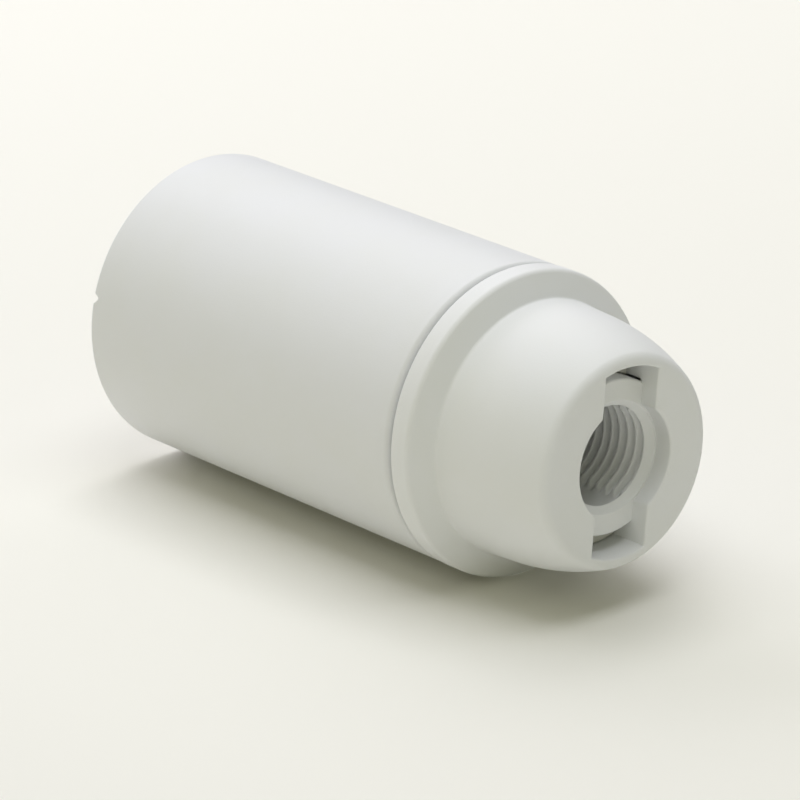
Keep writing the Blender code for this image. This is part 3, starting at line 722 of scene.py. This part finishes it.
def metal_skin_group():
    """Worked metal: fine drawn or turned lines, and patches of tarnish that dull it."""
    sockets = {
        "Colour": (0.7, 0.7, 0.7, 1),
        "Tarnish Colour": (0.4, 0.35, 0.3, 1),
        "Tarnish Size": 0.002,
        "Tarnish": 0.4,
        "Line Stretch": (900.0, 900.0, 16000.0),
        "Gloss": 0.3,
        "Gloss Spread": 0.16,
    }
    tree, given, outside = begun("metal_skin", "ShaderNodeTree", sockets)
    place = own_place(tree)
    stretched = {0: place, 1: given["Line Stretch"]}
    drawn = out(tree, "ShaderNodeVectorMath", stretched, operation="MULTIPLY")
    lines = noise(drawn, 1.0, 3.0)
    patches = noise(place, over(1.0, given["Tarnish Size"]), 5.0)
    share = times(ranged(patches, 0.42, 0.72), given["Tarnish"])
    colour = blend(share, given["Colour"], given["Tarnish Colour"])
    dulled = plus(given["Gloss"], times(share, 0.25))
    return close_skin(tree, given, outside, colour, dulled, lines, lines)


def begun_material(name, constants):
    """A material with constant inputs of its shader: (material, its tree, the shader)."""
    made = bpy.data.materials.new(name)
    made.use_nodes = True
    shader = made.node_tree.nodes["Principled BSDF"]
    for title, value in constants.items():
        shader.inputs[title].default_value = value
    return made, made.node_tree, shader


def skinned(name, skin, relief, values, constants):
    """A material whose shader takes its colour, roughness and fine relief from a skin group."""
    made, tree, shader = begun_material(name, constants)
    group = put(tree, "ShaderNodeGroup", node_tree=skin)
    for socket, value in zip(group.inputs, values):
        socket.default_value = value
    raised = {"Height": group.outputs["Height"], "Strength": 1.0, "Distance": relief}
    tree.links.new(group.outputs["Colour"], shader.inputs["Base Color"])
    tree.links.new(group.outputs["Roughness"], shader.inputs["Roughness"])
    tree.links.new(out(tree, "ShaderNodeBump", raised), shader.inputs["Normal"])
    return made


def make_finishes():
    """The six materials, by name."""
    finishes = {}
    for skin, rows, constants in (
        (moulded_skin_group(), MOULDINGS, {"Specular IOR Level": 0.4}),
        (metal_skin_group(), METALS, {"Metallic": 1.0}),
    ):
        for name, relief, *values in rows:
            finishes[name] = skinned(name, skin, relief, values, constants)
    return finishes


def make_skirt(finish):
    """The plain tube with its inner shoulder, two keys and the small nick in its rim."""
    outline = rounded(
        (SKIRT_RADIUS, 0, RIM_ROUND),
        (SKIRT_RADIUS, SKIRT_LENGTH, TOP_ROUND),
        (SKIRT_BORE, SKIRT_LENGTH, FINE_ROUND),
        (SKIRT_BORE, SHOULDER_TOP, FINE_ROUND),
        (SHOULDER_BORE, SHOULDER_TOP, FINE_ROUND),
        (SHOULDER_BORE, SHOULDER_FOOT, FINE_ROUND),
        (MOUTH_BORE, SHOULDER_FOOT - MOUTH_BORE + SHOULDER_BORE, 0.4),
        (MOUTH_BORE, 0, 0.2),
        steps=5,
    )
    bm = turned(outline, SKIRT_SEGMENTS)
    keys = []
    for angle in KEY_ANGLES:
        low = (SKIRT_BORE - KEY_DEPTH, -KEY_WIDTH / 2, SHOULDER_TOP - 0.45)
        keys.append(turn(box(low, (SKIRT_BORE + 0.7, KEY_WIDTH / 2, BLOCK_TOP), 0.12), angle))
    bm = joined(bm, keys, "UNION")
    wedge = rounded(
        (-NICK_WIDTH - NICK_LEAN, -NICK_DEPTH, 0),
        (NICK_WIDTH - NICK_LEAN, -NICK_DEPTH, 0),
        (NICK_LEAN, NICK_DEPTH, 0.22),
    )
    nick = prism([(SKIRT_RADIUS - NICK_REACH, y, z) for y, z in wedge], (NICK_REACH + PAST, 0, 0))
    bm = joined(bm, [turn(nick, NICK_ANGLE)])
    finished_piece("skirt", bm, finish, "skirt", ["outer_skirt"])


def dome_outline():
    """The dome from its foot to the rounded edge of the end face: a straight side, then one arc."""
    start = (DOME_FOOT_RADIUS - DOME_TAPER * DOME_STRAIGHT, DOME_FOOT + DOME_STRAIGHT)
    lean = math.atan(DOME_TAPER)
    run = TOTAL_LENGTH - start[1]
    drop = start[0] - END_FACE_RADIUS
    radius = (run**2 + drop**2) / (2 * (drop * math.cos(lean) - run * math.sin(lean)))
    centre = (start[0] - radius * math.cos(lean), start[1] - radius * math.sin(lean))
    rise = TOTAL_LENGTH - END_ROUND - centre[1]
    reach = math.sqrt((radius - END_ROUND) ** 2 - rise**2)
    meeting = math.degrees(math.atan2(rise, reach))
    side = arc(centre, radius, math.degrees(lean), meeting, 22)
    return side[:-1] + arc((centre[0] + reach, centre[1] + rise), END_ROUND, meeting, 90, 12)


def loft(layers):
    """The closed solid through a stack of plans, as pairs of (plan, height)."""
    bm = bmesh.new()
    loops = [[bm.verts.new((x, y, height)) for x, y in plan] for plan, height in layers]
    count = len(loops[0])
    for lower, upper in zip(loops, loops[1:]):
        for index in range(count):
            after = (index + 1) % count
            bm.faces.new((lower[index], lower[after], upper[after], upper[index]))
    bm.faces.new(loops[0][::-1])
    bm.faces.new(loops[-1])
    return faced(bm)


def edge_levels(foot, face, steps=4):
    """Pairs of (height, growth) for a cutter, from its foot to past the edge that it rounds."""
    pairs = []
    for step in range(steps + 1):
        angle = math.pi / 2 * step / steps
        pairs.append(Vector((EDGE_ROUND * math.sin(angle), EDGE_ROUND * (1 - math.cos(angle)))))
    pairs[-1] = 2 * pairs[-1] - pairs[-2]
    return [(foot, 0)] + [(face - EDGE_ROUND + rise, growth) for rise, growth in pairs]


def entry_plan(grow):
    """Plan of the opening in the end face, let out by so much: a round entry with two slots."""
    half = SLOT_WIDTH / 2
    across = half + CORNER_ROUND
    along = math.sqrt((ENTRY_RADIUS + CORNER_ROUND) ** 2 - across**2)
    lean = math.degrees(math.atan2(along, across))
    slot_end = SLOT_REACH + grow
    corner = math.degrees(math.acos((half + grow) / slot_end))
    quarter = arc((0, 0), ENTRY_RADIUS + grow, 0, lean, 20)
    quarter += arc((across, along), CORNER_ROUND - grow, 180 + lean, 180, 6)[1:]
    quarter += arc((0, 0), slot_end, corner, 90, 20)
    plan = quarter + [(-x, y) for x, y in quarter[-2::-1]]
    return plan + [(-x, -y) for x, y in quarter[1:]] + [(x, -y) for x, y in quarter[-2:0:-1]]


def gap_plan(side, grow=0.0, play=0.0):
    """Plan of the gap beside the collar that one slot opens, or of what fills it with some play."""
    half = SLOT_WIDTH / 2 - play
    reach = SLOT_REACH - play
    near_reach = COLLAR_RADIUS + COLLAR_LIP - grow + play
    far = math.degrees(math.acos(half / reach))
    near = math.degrees(math.acos(half / near_reach))
    plan = arc((0, 0), reach, far, 180 - far, 40) + arc((0, 0), near_reach, 180 - near, near, 30)
    return [(x, side * y) for x, y in plan]


def entry_cutters():
    """What is cut from the end: the opening down to the collar, and a gap past it at each slot."""
    levels = edge_levels(ENTRY_FLOOR, TOTAL_LENGTH)
    cutters = [loft([(entry_plan(grow), height) for height, grow in levels])]
    levels = edge_levels(SLOT_FOOT, ENTRY_FLOOR)
    for side in SIDES:
        cutters.append(loft([(gap_plan(side, grow), height) for height, grow in levels]))
    return cutters


def make_cap(finish, thread_tree):
    """Flange, dome, spigot and threaded collar, all one moulding, with the two slots of its end."""
    core = THREAD_CORE_RADIUS
    thread_foot = COLLAR_FOOT + THREAD_CHAMFER
    thread_top = ENTRY_FLOOR - THREAD_CHAMFER
    mouth = core + THREAD_CHAMFER
    bore = ENTRY_RADIUS - 0.05
    outline = [(core, thread_top), (bore, thread_top + bore - core)]
    outline += [(bore, TOTAL_LENGTH)] + dome_outline()[::-1]
    outline += rounded(
        (DOME_FOOT_RADIUS - 0.1, DOME_FOOT + 2, 0),
        (DOME_FOOT_RADIUS, DOME_FOOT, 0.3),
        (FLANGE_RADIUS, FLANGE_TOP, FLANGE_ROUND),
        (FLANGE_RADIUS, FLANGE_FOOT, 0.12),
        (SEAT_RADIUS, FLANGE_FOOT, 0),
        (SEAT_RADIUS, SEAT_HEIGHT, 0),
        (SPIGOT_RADIUS, SEAT_HEIGHT, 0),
        (SPIGOT_RADIUS, SPIGOT_FOOT, 0.3),
        (SPIGOT_RADIUS - SPIGOT_WALL, SPIGOT_FOOT, FINE_ROUND),
        (SPIGOT_RADIUS - SPIGOT_WALL, FLANGE_FOOT - 0.4, 0.1),
        (INNER_FOOT_RADIUS, FLANGE_FOOT + 0.4, 0.1),
        (INNER_FOOT_RADIUS, DOME_FOOT, 0),
        (INNER_TOP_RADIUS, LATCH_TOP, 0),
        (SLOT_REACH - 0.3, INNER_CEILING - 0.35, 0.3),
        (SLOT_REACH - 0.65, INNER_CEILING, 0.2),
        (COLLAR_RADIUS, INNER_CEILING, FINE_ROUND),
        (COLLAR_RADIUS, COLLAR_FOOT, FINE_ROUND),
        (mouth, COLLAR_FOOT, 0.05),
        (core, thread_foot, 0),
        ring=False,
    )[1:]
    thread = grown(
        thread_tree,
        radius=core,
        depth=THREAD_MAJOR_RADIUS - core,
        pitch=THREAD_PITCH,
        foot=thread_foot,
        length=thread_top - thread_foot,
        run_out=0.35,
        crest_flat=0.1,
        root_flat=0.15,
        roundness=0.6,
        sector=THREAD_SECTOR,
        sector_middle=THREAD_SECTOR_MIDDLE,
        segments=CAP_SEGMENTS,
        rings=111,
        finish=finish,
    )
    bm = add_mesh(turned(outline, CAP_SEGMENTS, ring=False), thread)
    half = SLOT_WIDTH / 2
    wide = half + GUIDE_WALL
    pockets, guides = [], []
    for side in SIDES:
        inner = (-half, side * LATCH_INNER, LATCH_FOOT)
        pockets.append(box(inner, (half, side * LATCH_REACH, LATCH_TOP)))
        inner = (-wide, side * (COLLAR_RADIUS - 0.4), GUIDE_FOOT)
        guides.append(box(inner, (wide, side * (SLOT_REACH + 0.45), ENTRY_FLOOR - 0.1)))
    bm = joined(joined(bm, pockets), guides, "UNION")
    for cutter in entry_cutters():
        bm = joined(bm, [cutter])
    margin = 0.02

    def in_thread(point):
        inside = thread_foot + margin < point.z < thread_top - margin
        return inside and point.xy.length < THREAD_MAJOR_RADIUS + margin

    finished_piece("domed_cap", bm, finish, "cap", ["dome_cap"], in_thread)


def rivet_hole(side, foot, top):
    return rod(RIVET_RADIUS + PLAY, foot, top, (0, side * RIVET_CIRCLE))


def make_block(finish):
    """The insulating moulding: sleeve, pockets, barrier, snap arms and key notches."""
    outline = rounded(
        (SLEEVE_BORE, SLEEVE_FOOT, 0.2),
        (SLEEVE_RADIUS, SLEEVE_FOOT, 0.3),
        (SLEEVE_RADIUS, BLOCK_FOOT, 0.3),
        (BLOCK_RADIUS, BLOCK_FOOT, 0.25),
        (BLOCK_RADIUS, BLOCK_TOP, 0.2),
        (STEM_HOLE_RADIUS, BLOCK_TOP, 0),
        (STEM_HOLE_RADIUS, STRIP_SLOT_FOOT, 0),
        (CONTACT_BORE_RADIUS, STRIP_SLOT_FOOT, 0),
        (CONTACT_BORE_RADIUS, BLOCK_FOOT, 0.2),
        (SLEEVE_BORE, BLOCK_FOOT, 0.2),
    )
    bm = turned(outline, BLOCK_SEGMENTS)
    half = CORE_WIDTH / 2
    cuts = []
    for side in SIDES:
        outer = (half, side * CORE_OUTER, BLOCK_TOP + PAST)
        cuts.append(box((-half, side * CORE_INNER, WEB_TOP), outer))
        cuts.append(rivet_hole(side, BLOCK_FOOT - PAST, WEB_TOP + PAST))
    bm = joined(bm, cuts)
    half = BARRIER_THICKNESS / 2
    reach = CORE_OUTER + CLEARANCE
    span = CLIP_RECESS_RADIUS + CLEARANCE
    wall = box((-half, -reach, BARRIER_FOOT), (half, reach, BARRIER_TOP))
    arch = box((-half - PAST, -span, BLOCK_FOOT), (half + PAST, span, ARCH_TOP))
    bm = joined(bm, [joined(wall, [arch])], "UNION")
    strip_half = STRIP_WIDTH / 2 + PLAY
    tab_half = TAB_WIDTH / 2 + PLAY
    cuts = [
        rod(CLIP_RECESS_RADIUS, CLIP_RECESS_FLOOR, BLOCK_TOP + PAST / 2),
        box(
            (-strip_half - PAST, -strip_half, STRIP_SLOT_FOOT),
            (POCKET_INNER + 0.5, strip_half, STRIP_SLOT_TOP),
        ),
        box(
            (-TAB_OUTER - PLAY, -tab_half, BLOCK_FOOT - PAST),
            (-TAB_INNER + PLAY, tab_half, POCKET_FLOOR + PAST),
        ),
    ]
    half = POCKET_WIDTH / 2
    for side in TERMINAL_SIDES.values():
        outer = (side * (BLOCK_RADIUS + PAST), half, BLOCK_TOP + PAST)
        cuts.append(box((side * POCKET_INNER, -half, POCKET_FLOOR), outer))
    for cut in cuts:
        bm = joined(bm, [cut])
    bm = joined(bm, [snap_arm(side) for side in SIDES], "UNION")
    half = KEY_WIDTH / 2 + CLEARANCE
    inner = (SKIRT_BORE - KEY_DEPTH - CLEARANCE, -half, BLOCK_FOOT - PAST)
    outer = (BLOCK_RADIUS + PAST, half, BLOCK_TOP + PAST)
    bm = joined(bm, [turn(box(inner, outer), angle) for angle in KEY_ANGLES])
    flatten_faces(bm)
    round_edges(bm, 0.1, least=60)
    bm = joined(bm, [arm_tip(side) for side in SIDES], "UNION")
    finished_piece("contact_block", bm, finish, "cap", ["terminal_block"])


def snap_arm(side):
    """A springy arm with a hook that faces out, drawn from the side and given its width along X."""
    tip = ARM_OUTER + HOOK_DEPTH
    outline = rounded(
        (ARM_INNER, BLOCK_TOP - 2, 0),
        (ARM_OUTER, BLOCK_TOP - 2, 0),
        (ARM_OUTER, HOOK_TOP - HOOK_HEIGHT, FINE_ROUND),
        (tip, HOOK_TOP - HOOK_HEIGHT, 0.1),
        (tip, HOOK_TOP - HOOK_HEIGHT * 0.75, 0.1),
        (ARM_OUTER - 0.3, HOOK_TOP, 0.1),
        (ARM_INNER, HOOK_TOP, FINE_ROUND),
    )
    half = ARM_WIDTH / 2
    return prism([(-half, side * reach, height) for reach, height in outline], (2 * half, 0, 0))


def arm_tip(side):
    """The end of a snap arm, curved to fill the gap in which it is pushed to free the hook."""
    edge = 0.12
    levels = ((HOOK_TOP - 0.5, TIP_PLAY), (TIP_TOP - edge, TIP_PLAY), (TIP_TOP, TIP_PLAY + edge))
    return loft([(gap_plan(side, play=play), height) for height, play in levels])


def make_lamp_shell(finish, thread_tree):
    """The shell rolled from one sheet, with its flange, rivet holes and the tab to the terminal."""
    wall_foot = SHELL_FOOT + SHELL_LIP
    wall_length = SHELL_TOP - SHELL_LIP - wall_foot
    wall_top = wall_foot + wall_length
    outer = SHELL_GROOVE_RADIUS + SHELL_SHEET
    under = SHELL_TOP - SHELL_SHEET
    upper = rounded(
        (SHELL_GROOVE_RADIUS, wall_top, 0),
        (SHELL_GROOVE_RADIUS, under, 0.25),
        (SHELL_FLANGE_BORE, under, 0.08),
        (SHELL_FLANGE_BORE, SHELL_TOP, 0.08),
        (outer, SHELL_TOP, 0.6),
        (outer, wall_top, 0),
        ring=False,
    )
    lower = rounded(
        (outer, wall_foot, 0),
        (outer, SHELL_FOOT, FINE_ROUND),
        (SHELL_GROOVE_RADIUS, SHELL_FOOT, FINE_ROUND),
        (SHELL_GROOVE_RADIUS, wall_foot, 0),
        ring=False,
    )
    bm = turned(upper, BLOCK_SEGMENTS, ring=False)
    take_in(bm, turned(lower, BLOCK_SEGMENTS, ring=False))
    for radius in (SHELL_GROOVE_RADIUS, outer):
        wall = grown(
            thread_tree,
            radius=radius,
            depth=SHELL_CREST_RADIUS - SHELL_GROOVE_RADIUS,
            pitch=SHELL_PITCH,
            foot=wall_foot,
            length=wall_length,
            run_out=SHELL_PITCH / 2,
            crest_flat=0.0,
            root_flat=0.0,
            roundness=1.0,
            segments=BLOCK_SEGMENTS,
            rings=71,
            finish=finish,
        )
        bm = add_mesh(bm, wall)
    half = TAB_WIDTH / 2
    tab_foot = SHELL_TOP - SHELL_SHEET / 2
    tab = box((-TAB_OUTER, -half, tab_foot), (-TAB_INNER, half, STRIP_TOP), 0.08)
    bm = joined(bm, [tab], "UNION")
    bm = joined(bm, [rivet_hole(side, SHELL_TOP - PAST, SHELL_TOP + PAST) for side in SIDES])

    def in_wall(point):
        return wall_foot < point.z < wall_top

    finished_piece("rolled_shell", bm, finish, "cap", ["screw_shell"], in_wall)


def make_rivets(finish, fastener_tree):
    """Two hollow rivets from one drawing, set across the shell's flange."""
    head_top = SHELL_TOP - SHELL_SHEET - 0.1
    lip_foot = WEB_TOP + 0.1
    outline = rounded(
        (RIVET_BORE_RADIUS, head_top - 0.45, 0.1),
        (RIVET_HEAD_RADIUS, head_top - 0.45, 0.2),
        (RIVET_HEAD_RADIUS, head_top, 0.05),
        (RIVET_RADIUS, head_top, 0),
        (RIVET_RADIUS, lip_foot, 0),
        (RIVET_HEAD_RADIUS, lip_foot + 0.05, 0.08),
        (RIVET_HEAD_RADIUS - 0.1, lip_foot + 0.45, FINE_ROUND),
        (RIVET_BORE_RADIUS, lip_foot + 0.4, 0.12),
    )
    rivet = object_from(turned(outline, 48))
    mesh = grown(
        fastener_tree,
        fastener=rivet,
        count=2,
        first_place=(0.0, -RIVET_CIRCLE, 0.0),
        step=(0.0, 2 * RIVET_CIRCLE, 0.0),
        finish=finish,
    )
    bpy.data.objects.remove(rivet)
    rivets = ["shell_rivet_1", "shell_rivet_2"]
    finished_piece("tubular_rivets", opened(mesh), finish, "cap", rivets)


def make_plunger(finish):
    """The centre contact: a domed button on a stem with a groove for the clip."""
    groove = STEM_RADIUS - 0.35
    outline = rounded(
        (0, BUTTON_TIP, 0),
        (BUTTON_RADIUS * 0.5, BUTTON_TIP + 0.09, 1.5),
        (BUTTON_RADIUS * 0.85, BUTTON_TIP + 0.36, 0.8),
        (BUTTON_RADIUS, BUTTON_TIP + 0.9, 0.5),
        (BUTTON_RADIUS, BUTTON_TOP, 0.12),
        (STEM_RADIUS, BUTTON_TOP, 0.1),
        (STEM_RADIUS, CLIP_FOOT - 0.05, 0.06),
        (groove, CLIP_FOOT - 0.05, 0.06),
        (groove, CLIP_TOP + 0.05, 0.06),
        (STEM_RADIUS, CLIP_TOP + 0.05, 0.06),
        (STEM_RADIUS, STEM_TOP, 0.25),
        (0, STEM_TOP, 0),
        ring=False,
    )
    bm = turned(outline, SMALL_SEGMENTS, ring=False)
    finished_piece("plunger", bm, finish, "plunger", ["centre_plunger"])


def make_clip(finish):
    """A ring, open on one side, that snaps into the plunger's groove."""
    bore = STEM_RADIUS - 0.25
    outline = rounded(
        (bore, CLIP_FOOT, 0.08),
        (CLIP_RADIUS, CLIP_FOOT, 0.1),
        (CLIP_RADIUS, CLIP_TOP, 0.1),
        (bore, CLIP_TOP, 0.08),
    )
    half = bore * 0.8
    mouth = box((0, -half, CLIP_FOOT - PAST), (CLIP_RADIUS + PAST, half, CLIP_TOP + PAST))
    bm = joined(turned(outline, SMALL_SEGMENTS), [mouth])
    finished_piece("retaining_clip", bm, finish, "plunger", ["plunger_clip"])


def make_spring(finish, spring_tree):
    """The spring between the button and the strip."""
    foot = BUTTON_TOP + SPRING_WIRE_RADIUS + 0.05
    mesh = grown(
        spring_tree,
        coil_radius=SPRING_RADIUS,
        wire_radius=SPRING_WIRE_RADIUS,
        turns=float(SPRING_TURNS),
        foot=foot,
        length=STRIP_FOOT - SPRING_WIRE_RADIUS - 0.05 - foot,
        closing=0.045,
        steps=SPRING_TURNS * 48,
        wire_facets=14,
        finish=finish,
    )
    bm = faced(opened(mesh))
    piece = finished_piece(
        "contact_spring", bm, finish, "cap", ["plunger_spring"], weighted=False
    )
    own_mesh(piece)


def make_strip(finish):
    """The strip under the plunger's clip, with a round eye at one end and a leg at the other."""
    half = STRIP_WIDTH / 2
    outline = rounded(
        (TAB_OUTER, PILLAR_FOOT, 0.1),
        (TAB_OUTER, STRIP_TOP, 0.45),
        (-half - 1, STRIP_TOP, 0),
        (-half - 1, STRIP_FOOT, 0),
        (TAB_INNER, STRIP_FOOT, 0.12),
        (TAB_INNER, PILLAR_FOOT, 0.1),
    )
    bm = prism([(x, -half, height) for x, height in outline], (0, 2 * half, 0))
    outside_eye = box((-half - 3, -half - 1, STRIP_FOOT - PAST), (0, half + 1, STRIP_TOP + PAST))
    outside_eye = joined(outside_eye, [rod(half, STRIP_FOOT - 2, STRIP_TOP + 2)])
    bm = joined(bm, [outside_eye, rod(STEM_RADIUS + PLAY, STRIP_FOOT - PAST, STRIP_TOP + PAST)])
    finished_piece("contact_strip", bm, finish, "cap", ["live_strip"])


def make_pillar(name, side, finish):
    """A terminal: a block with a hole for the wire, crossed by the hole of its screw."""
    half = PILLAR_WIDTH / 2
    middle = side * (PILLAR_INNER + PILLAR_OUTER) / 2
    outer = (side * PILLAR_OUTER, half, PILLAR_TOP)
    bm = box((side * PILLAR_INNER, -half, PILLAR_FOOT), outer, 0.25)
    bore = rod(SCREW_RADIUS + 0.05, 0, PILLAR_OUTER)
    turn(bore, side * 90, "Y")
    bmesh.ops.translate(bore, verts=bore.verts, vec=(middle, 0, SCREW_HEIGHT))
    wire_hole = rod(WIRE_HOLE_RADIUS, PILLAR_FOOT - PAST, PILLAR_TOP + PAST, (middle, 0))
    bm = joined(bm, [wire_hole, bore])
    finished_piece(f"{name}_pillar", bm, finish, "cap", [f"{name}_terminal"])


def drawn_screw(thread_tree, finish):
    """A cheese-head screw drawn along Z, its seat at the origin and its shank downwards."""
    shank = (PILLAR_OUTER - PILLAR_INNER) / 2 + 0.6
    core = SCREW_RADIUS - SCREW_THREAD_DEPTH
    thread_foot = 0.3 - shank
    thread_top = -0.15
    head = SCREW_HEAD_THICKNESS
    upper = rounded(
        (core, thread_top, 0),
        (core, 0, 0.05),
        (SCREW_HEAD_RADIUS, 0, 0.1),
        (SCREW_HEAD_RADIUS, head, 0.3),
        (0, head, 0),
        ring=False,
    )
    lower = [(0, -shank), (core - 0.2, -shank), (core, thread_foot)]
    bm = turned(upper, SMALL_SEGMENTS, ring=False)
    take_in(bm, turned(lower, SMALL_SEGMENTS, ring=False))
    thread = grown(
        thread_tree,
        radius=core,
        depth=SCREW_THREAD_DEPTH,
        pitch=SCREW_PITCH,
        foot=thread_foot,
        length=thread_top - thread_foot,
        run_out=0.25,
        crest_flat=0.1,
        root_flat=0.1,
        roundness=0.4,
        segments=SMALL_SEGMENTS,
        rings=61,
        finish=finish,
    )
    bm = add_mesh(bm, thread, near=SCREW_WELD)
    slot = box(
        (-SCREW_SLOT_WIDTH / 2, -SCREW_HEAD_RADIUS - PAST, head - SCREW_SLOT_DEPTH),
        (SCREW_SLOT_WIDTH / 2, SCREW_HEAD_RADIUS + PAST, head + PAST),
    )
    return object_from(joined(bm, [slot]))


def make_screw(name, side, finish, drawn, fastener_tree):
    """The drawn screw set in its terminal, with its head outwards."""
    mesh = grown(
        fastener_tree,
        fastener=drawn,
        count=1,
        first_place=(side * SCREW_SEAT, 0.0, SCREW_HEIGHT),
        tilt=side * math.pi / 2,
        finish=finish,
    )

    def on_shank(point):
        return abs(point.x) < SCREW_SEAT - 0.1

    finished_piece(
        f"{name}_clamp_screw",
        opened(mesh),
        finish,
        f"{name}_screw",
        [f"{name}_terminal_screw"],
        on_shank,
    )


def floor_finish():
    """Pale, and clear from behind, so that the camera sees through it from below.

    A faint glow along the line of contact, unseen by the camera, keeps that side from going black.
    """
    dull = {"Roughness": 0.75, "Specular IOR Level": 0.2}
    made, tree, shader = begun_material("pale_floor", dull)
    place = own_place(tree)
    colour = blend(noise(place, 5.0, 2.0), *FLOOR_COLOURS)
    tree.links.new(colour, shader.inputs["Base Color"])
    aside = calc("ABSOLUTE", dot(place, ACROSS))
    near = minus(1.0, over(aside, GLOW_REACH * MM))
    height = put(tree, "ShaderNodeSeparateXYZ", {"Vector": place}).outputs["Z"]
    below = calc("LESS_THAN", height, FLANGE_TOP * MM)
    strength = times(calc("MAXIMUM", near, 0.0), below)
    glow = out(tree, "ShaderNodeEmission", {"Color": FLOOR_GLOW, "Strength": strength})
    lit = out(tree, "ShaderNodeAddShader", {0: shader.outputs[0], 1: glow})
    seen = put(tree, "ShaderNodeLightPath").outputs["Is Camera Ray"]
    front = out(tree, "ShaderNodeMixShader", {0: seen, 1: lit, 2: shader.outputs[0]})
    back = put(tree, "ShaderNodeNewGeometry").outputs["Backfacing"]
    clear = out(tree, "ShaderNodeBsdfTransparent")
    mixed = out(tree, "ShaderNodeMixShader", {0: back, 1: front, 2: clear})
    tree.links.new(mixed, tree.nodes["Material Output"].inputs["Surface"])
    return made


def make_floor():
    """A square plane along the side of the skirt, facing the holder."""
    centre = HOLDER_MIDDLE - UP * FLOOR_DROP * MM
    bm = bmesh.new()
    corners = [(-1, -1), (-1, 1), (1, 1), (1, -1)]
    face = bm.faces.new(
        [bm.verts.new(centre + (ALONG * b - ACROSS * a) * FLOOR_SIZE / 2) for a, b in corners]
    )
    face.normal_update()
    if face.normal.dot(UP) < 0:
        face.normal_flip()
    floor = object_from(bm, "floor")
    floor.data.materials.append(floor_finish())


def aimed(name, data, place, direction, roll=0.0):
    """A lamp or a camera at a place, looking along a direction."""
    made = bpy.data.objects.new(name, data)
    made.location = place
    made.rotation_mode = "QUATERNION"
    rolled = Quaternion((0, 0, 1), math.radians(roll))
    made.rotation_quaternion = direction.to_track_quat("-Z", "Y") @ rolled
    bpy.context.scene.collection.objects.link(made)
    return made


def make_softbox(name, place, size, power, colour):
    """A soft square lamp that faces the holder and that the camera doesn't see."""
    lamp = bpy.data.lights.new(name, "AREA")
    lamp.shape = "SQUARE"
    lamp.size = size
    lamp.energy = power
    lamp.color = colour
    spot = HOLDER_MIDDLE + ACROSS * place[0] + UP * place[1] + ALONG * place[2]
    aimed(name, lamp, spot, HOLDER_MIDDLE - spot).visible_camera = False


def make_air():
    """The world: weak even light, more of it from two sides, and a pale backdrop for the camera."""
    world = bpy.data.worlds.new("studio_air")
    bpy.context.scene.world = world
    world.use_nodes = True
    tree = world.node_tree
    out_of = put(tree, "ShaderNodeTexCoord").outputs["Generated"]
    air = out(tree, "ShaderNodeBackground", {"Color": EVEN_AIR})
    for direction, colour in SIDE_AIR:
        strength = calc("MAXIMUM", dot(out_of, direction), 0.0)
        glow = out(tree, "ShaderNodeBackground", {"Color": colour, "Strength": strength})
        air = out(tree, "ShaderNodeAddShader", {0: air, 1: glow})
    seen = out(tree, "ShaderNodeBackground", {"Color": SEEN_AIR, "Strength": 1.0})
    path = put(tree, "ShaderNodeLightPath").outputs["Is Camera Ray"]
    mixed = out(tree, "ShaderNodeMixShader", {0: path, 1: air, 2: seen})
    tree.links.new(mixed, tree.nodes["World Output"].inputs["Surface"])


def make_camera():
    """The photo's view: its place, direction and roll, without any change of tone."""
    scene = bpy.context.scene
    camera = bpy.data.cameras.new("camera")
    camera.sensor_width = 36
    camera.lens = LENS_MM
    camera.clip_start = 0.01
    camera.clip_end = 5
    direction = Vector(VIEW_DIRECTION)
    scene.camera = aimed("camera", camera, CAMERA_PLACE, direction, CAMERA_ROLL)
    scene.view_settings.view_transform = "Standard"


def main():
    """Builds every piece, then the floor, the light and the camera."""
    finishes = make_finishes()
    nickel, brass, zinc = (finishes[row[0]] for row in METALS)
    threads = threaded_wall_tree()
    springs = coil_spring_tree()
    fasteners = set_fasteners_tree()
    make_skirt(finishes["white_skirt"])
    make_cap(finishes["white_cap"], threads)
    make_block(finishes["ivory_moulding"])
    make_lamp_shell(nickel, threads)
    make_rivets(nickel, fasteners)
    make_plunger(nickel)
    make_clip(zinc)
    make_spring(zinc, springs)
    make_strip(brass)
    screw = drawn_screw(threads, zinc)
    for name, side in TERMINAL_SIDES.items():
        make_pillar(name, side, brass)
        make_screw(name, side, zinc, screw, fasteners)
    bpy.data.objects.remove(screw)
    make_floor()
    for name, values in SOFTBOXES.items():
        make_softbox(name, *values)
    make_air()
    make_camera()


main()
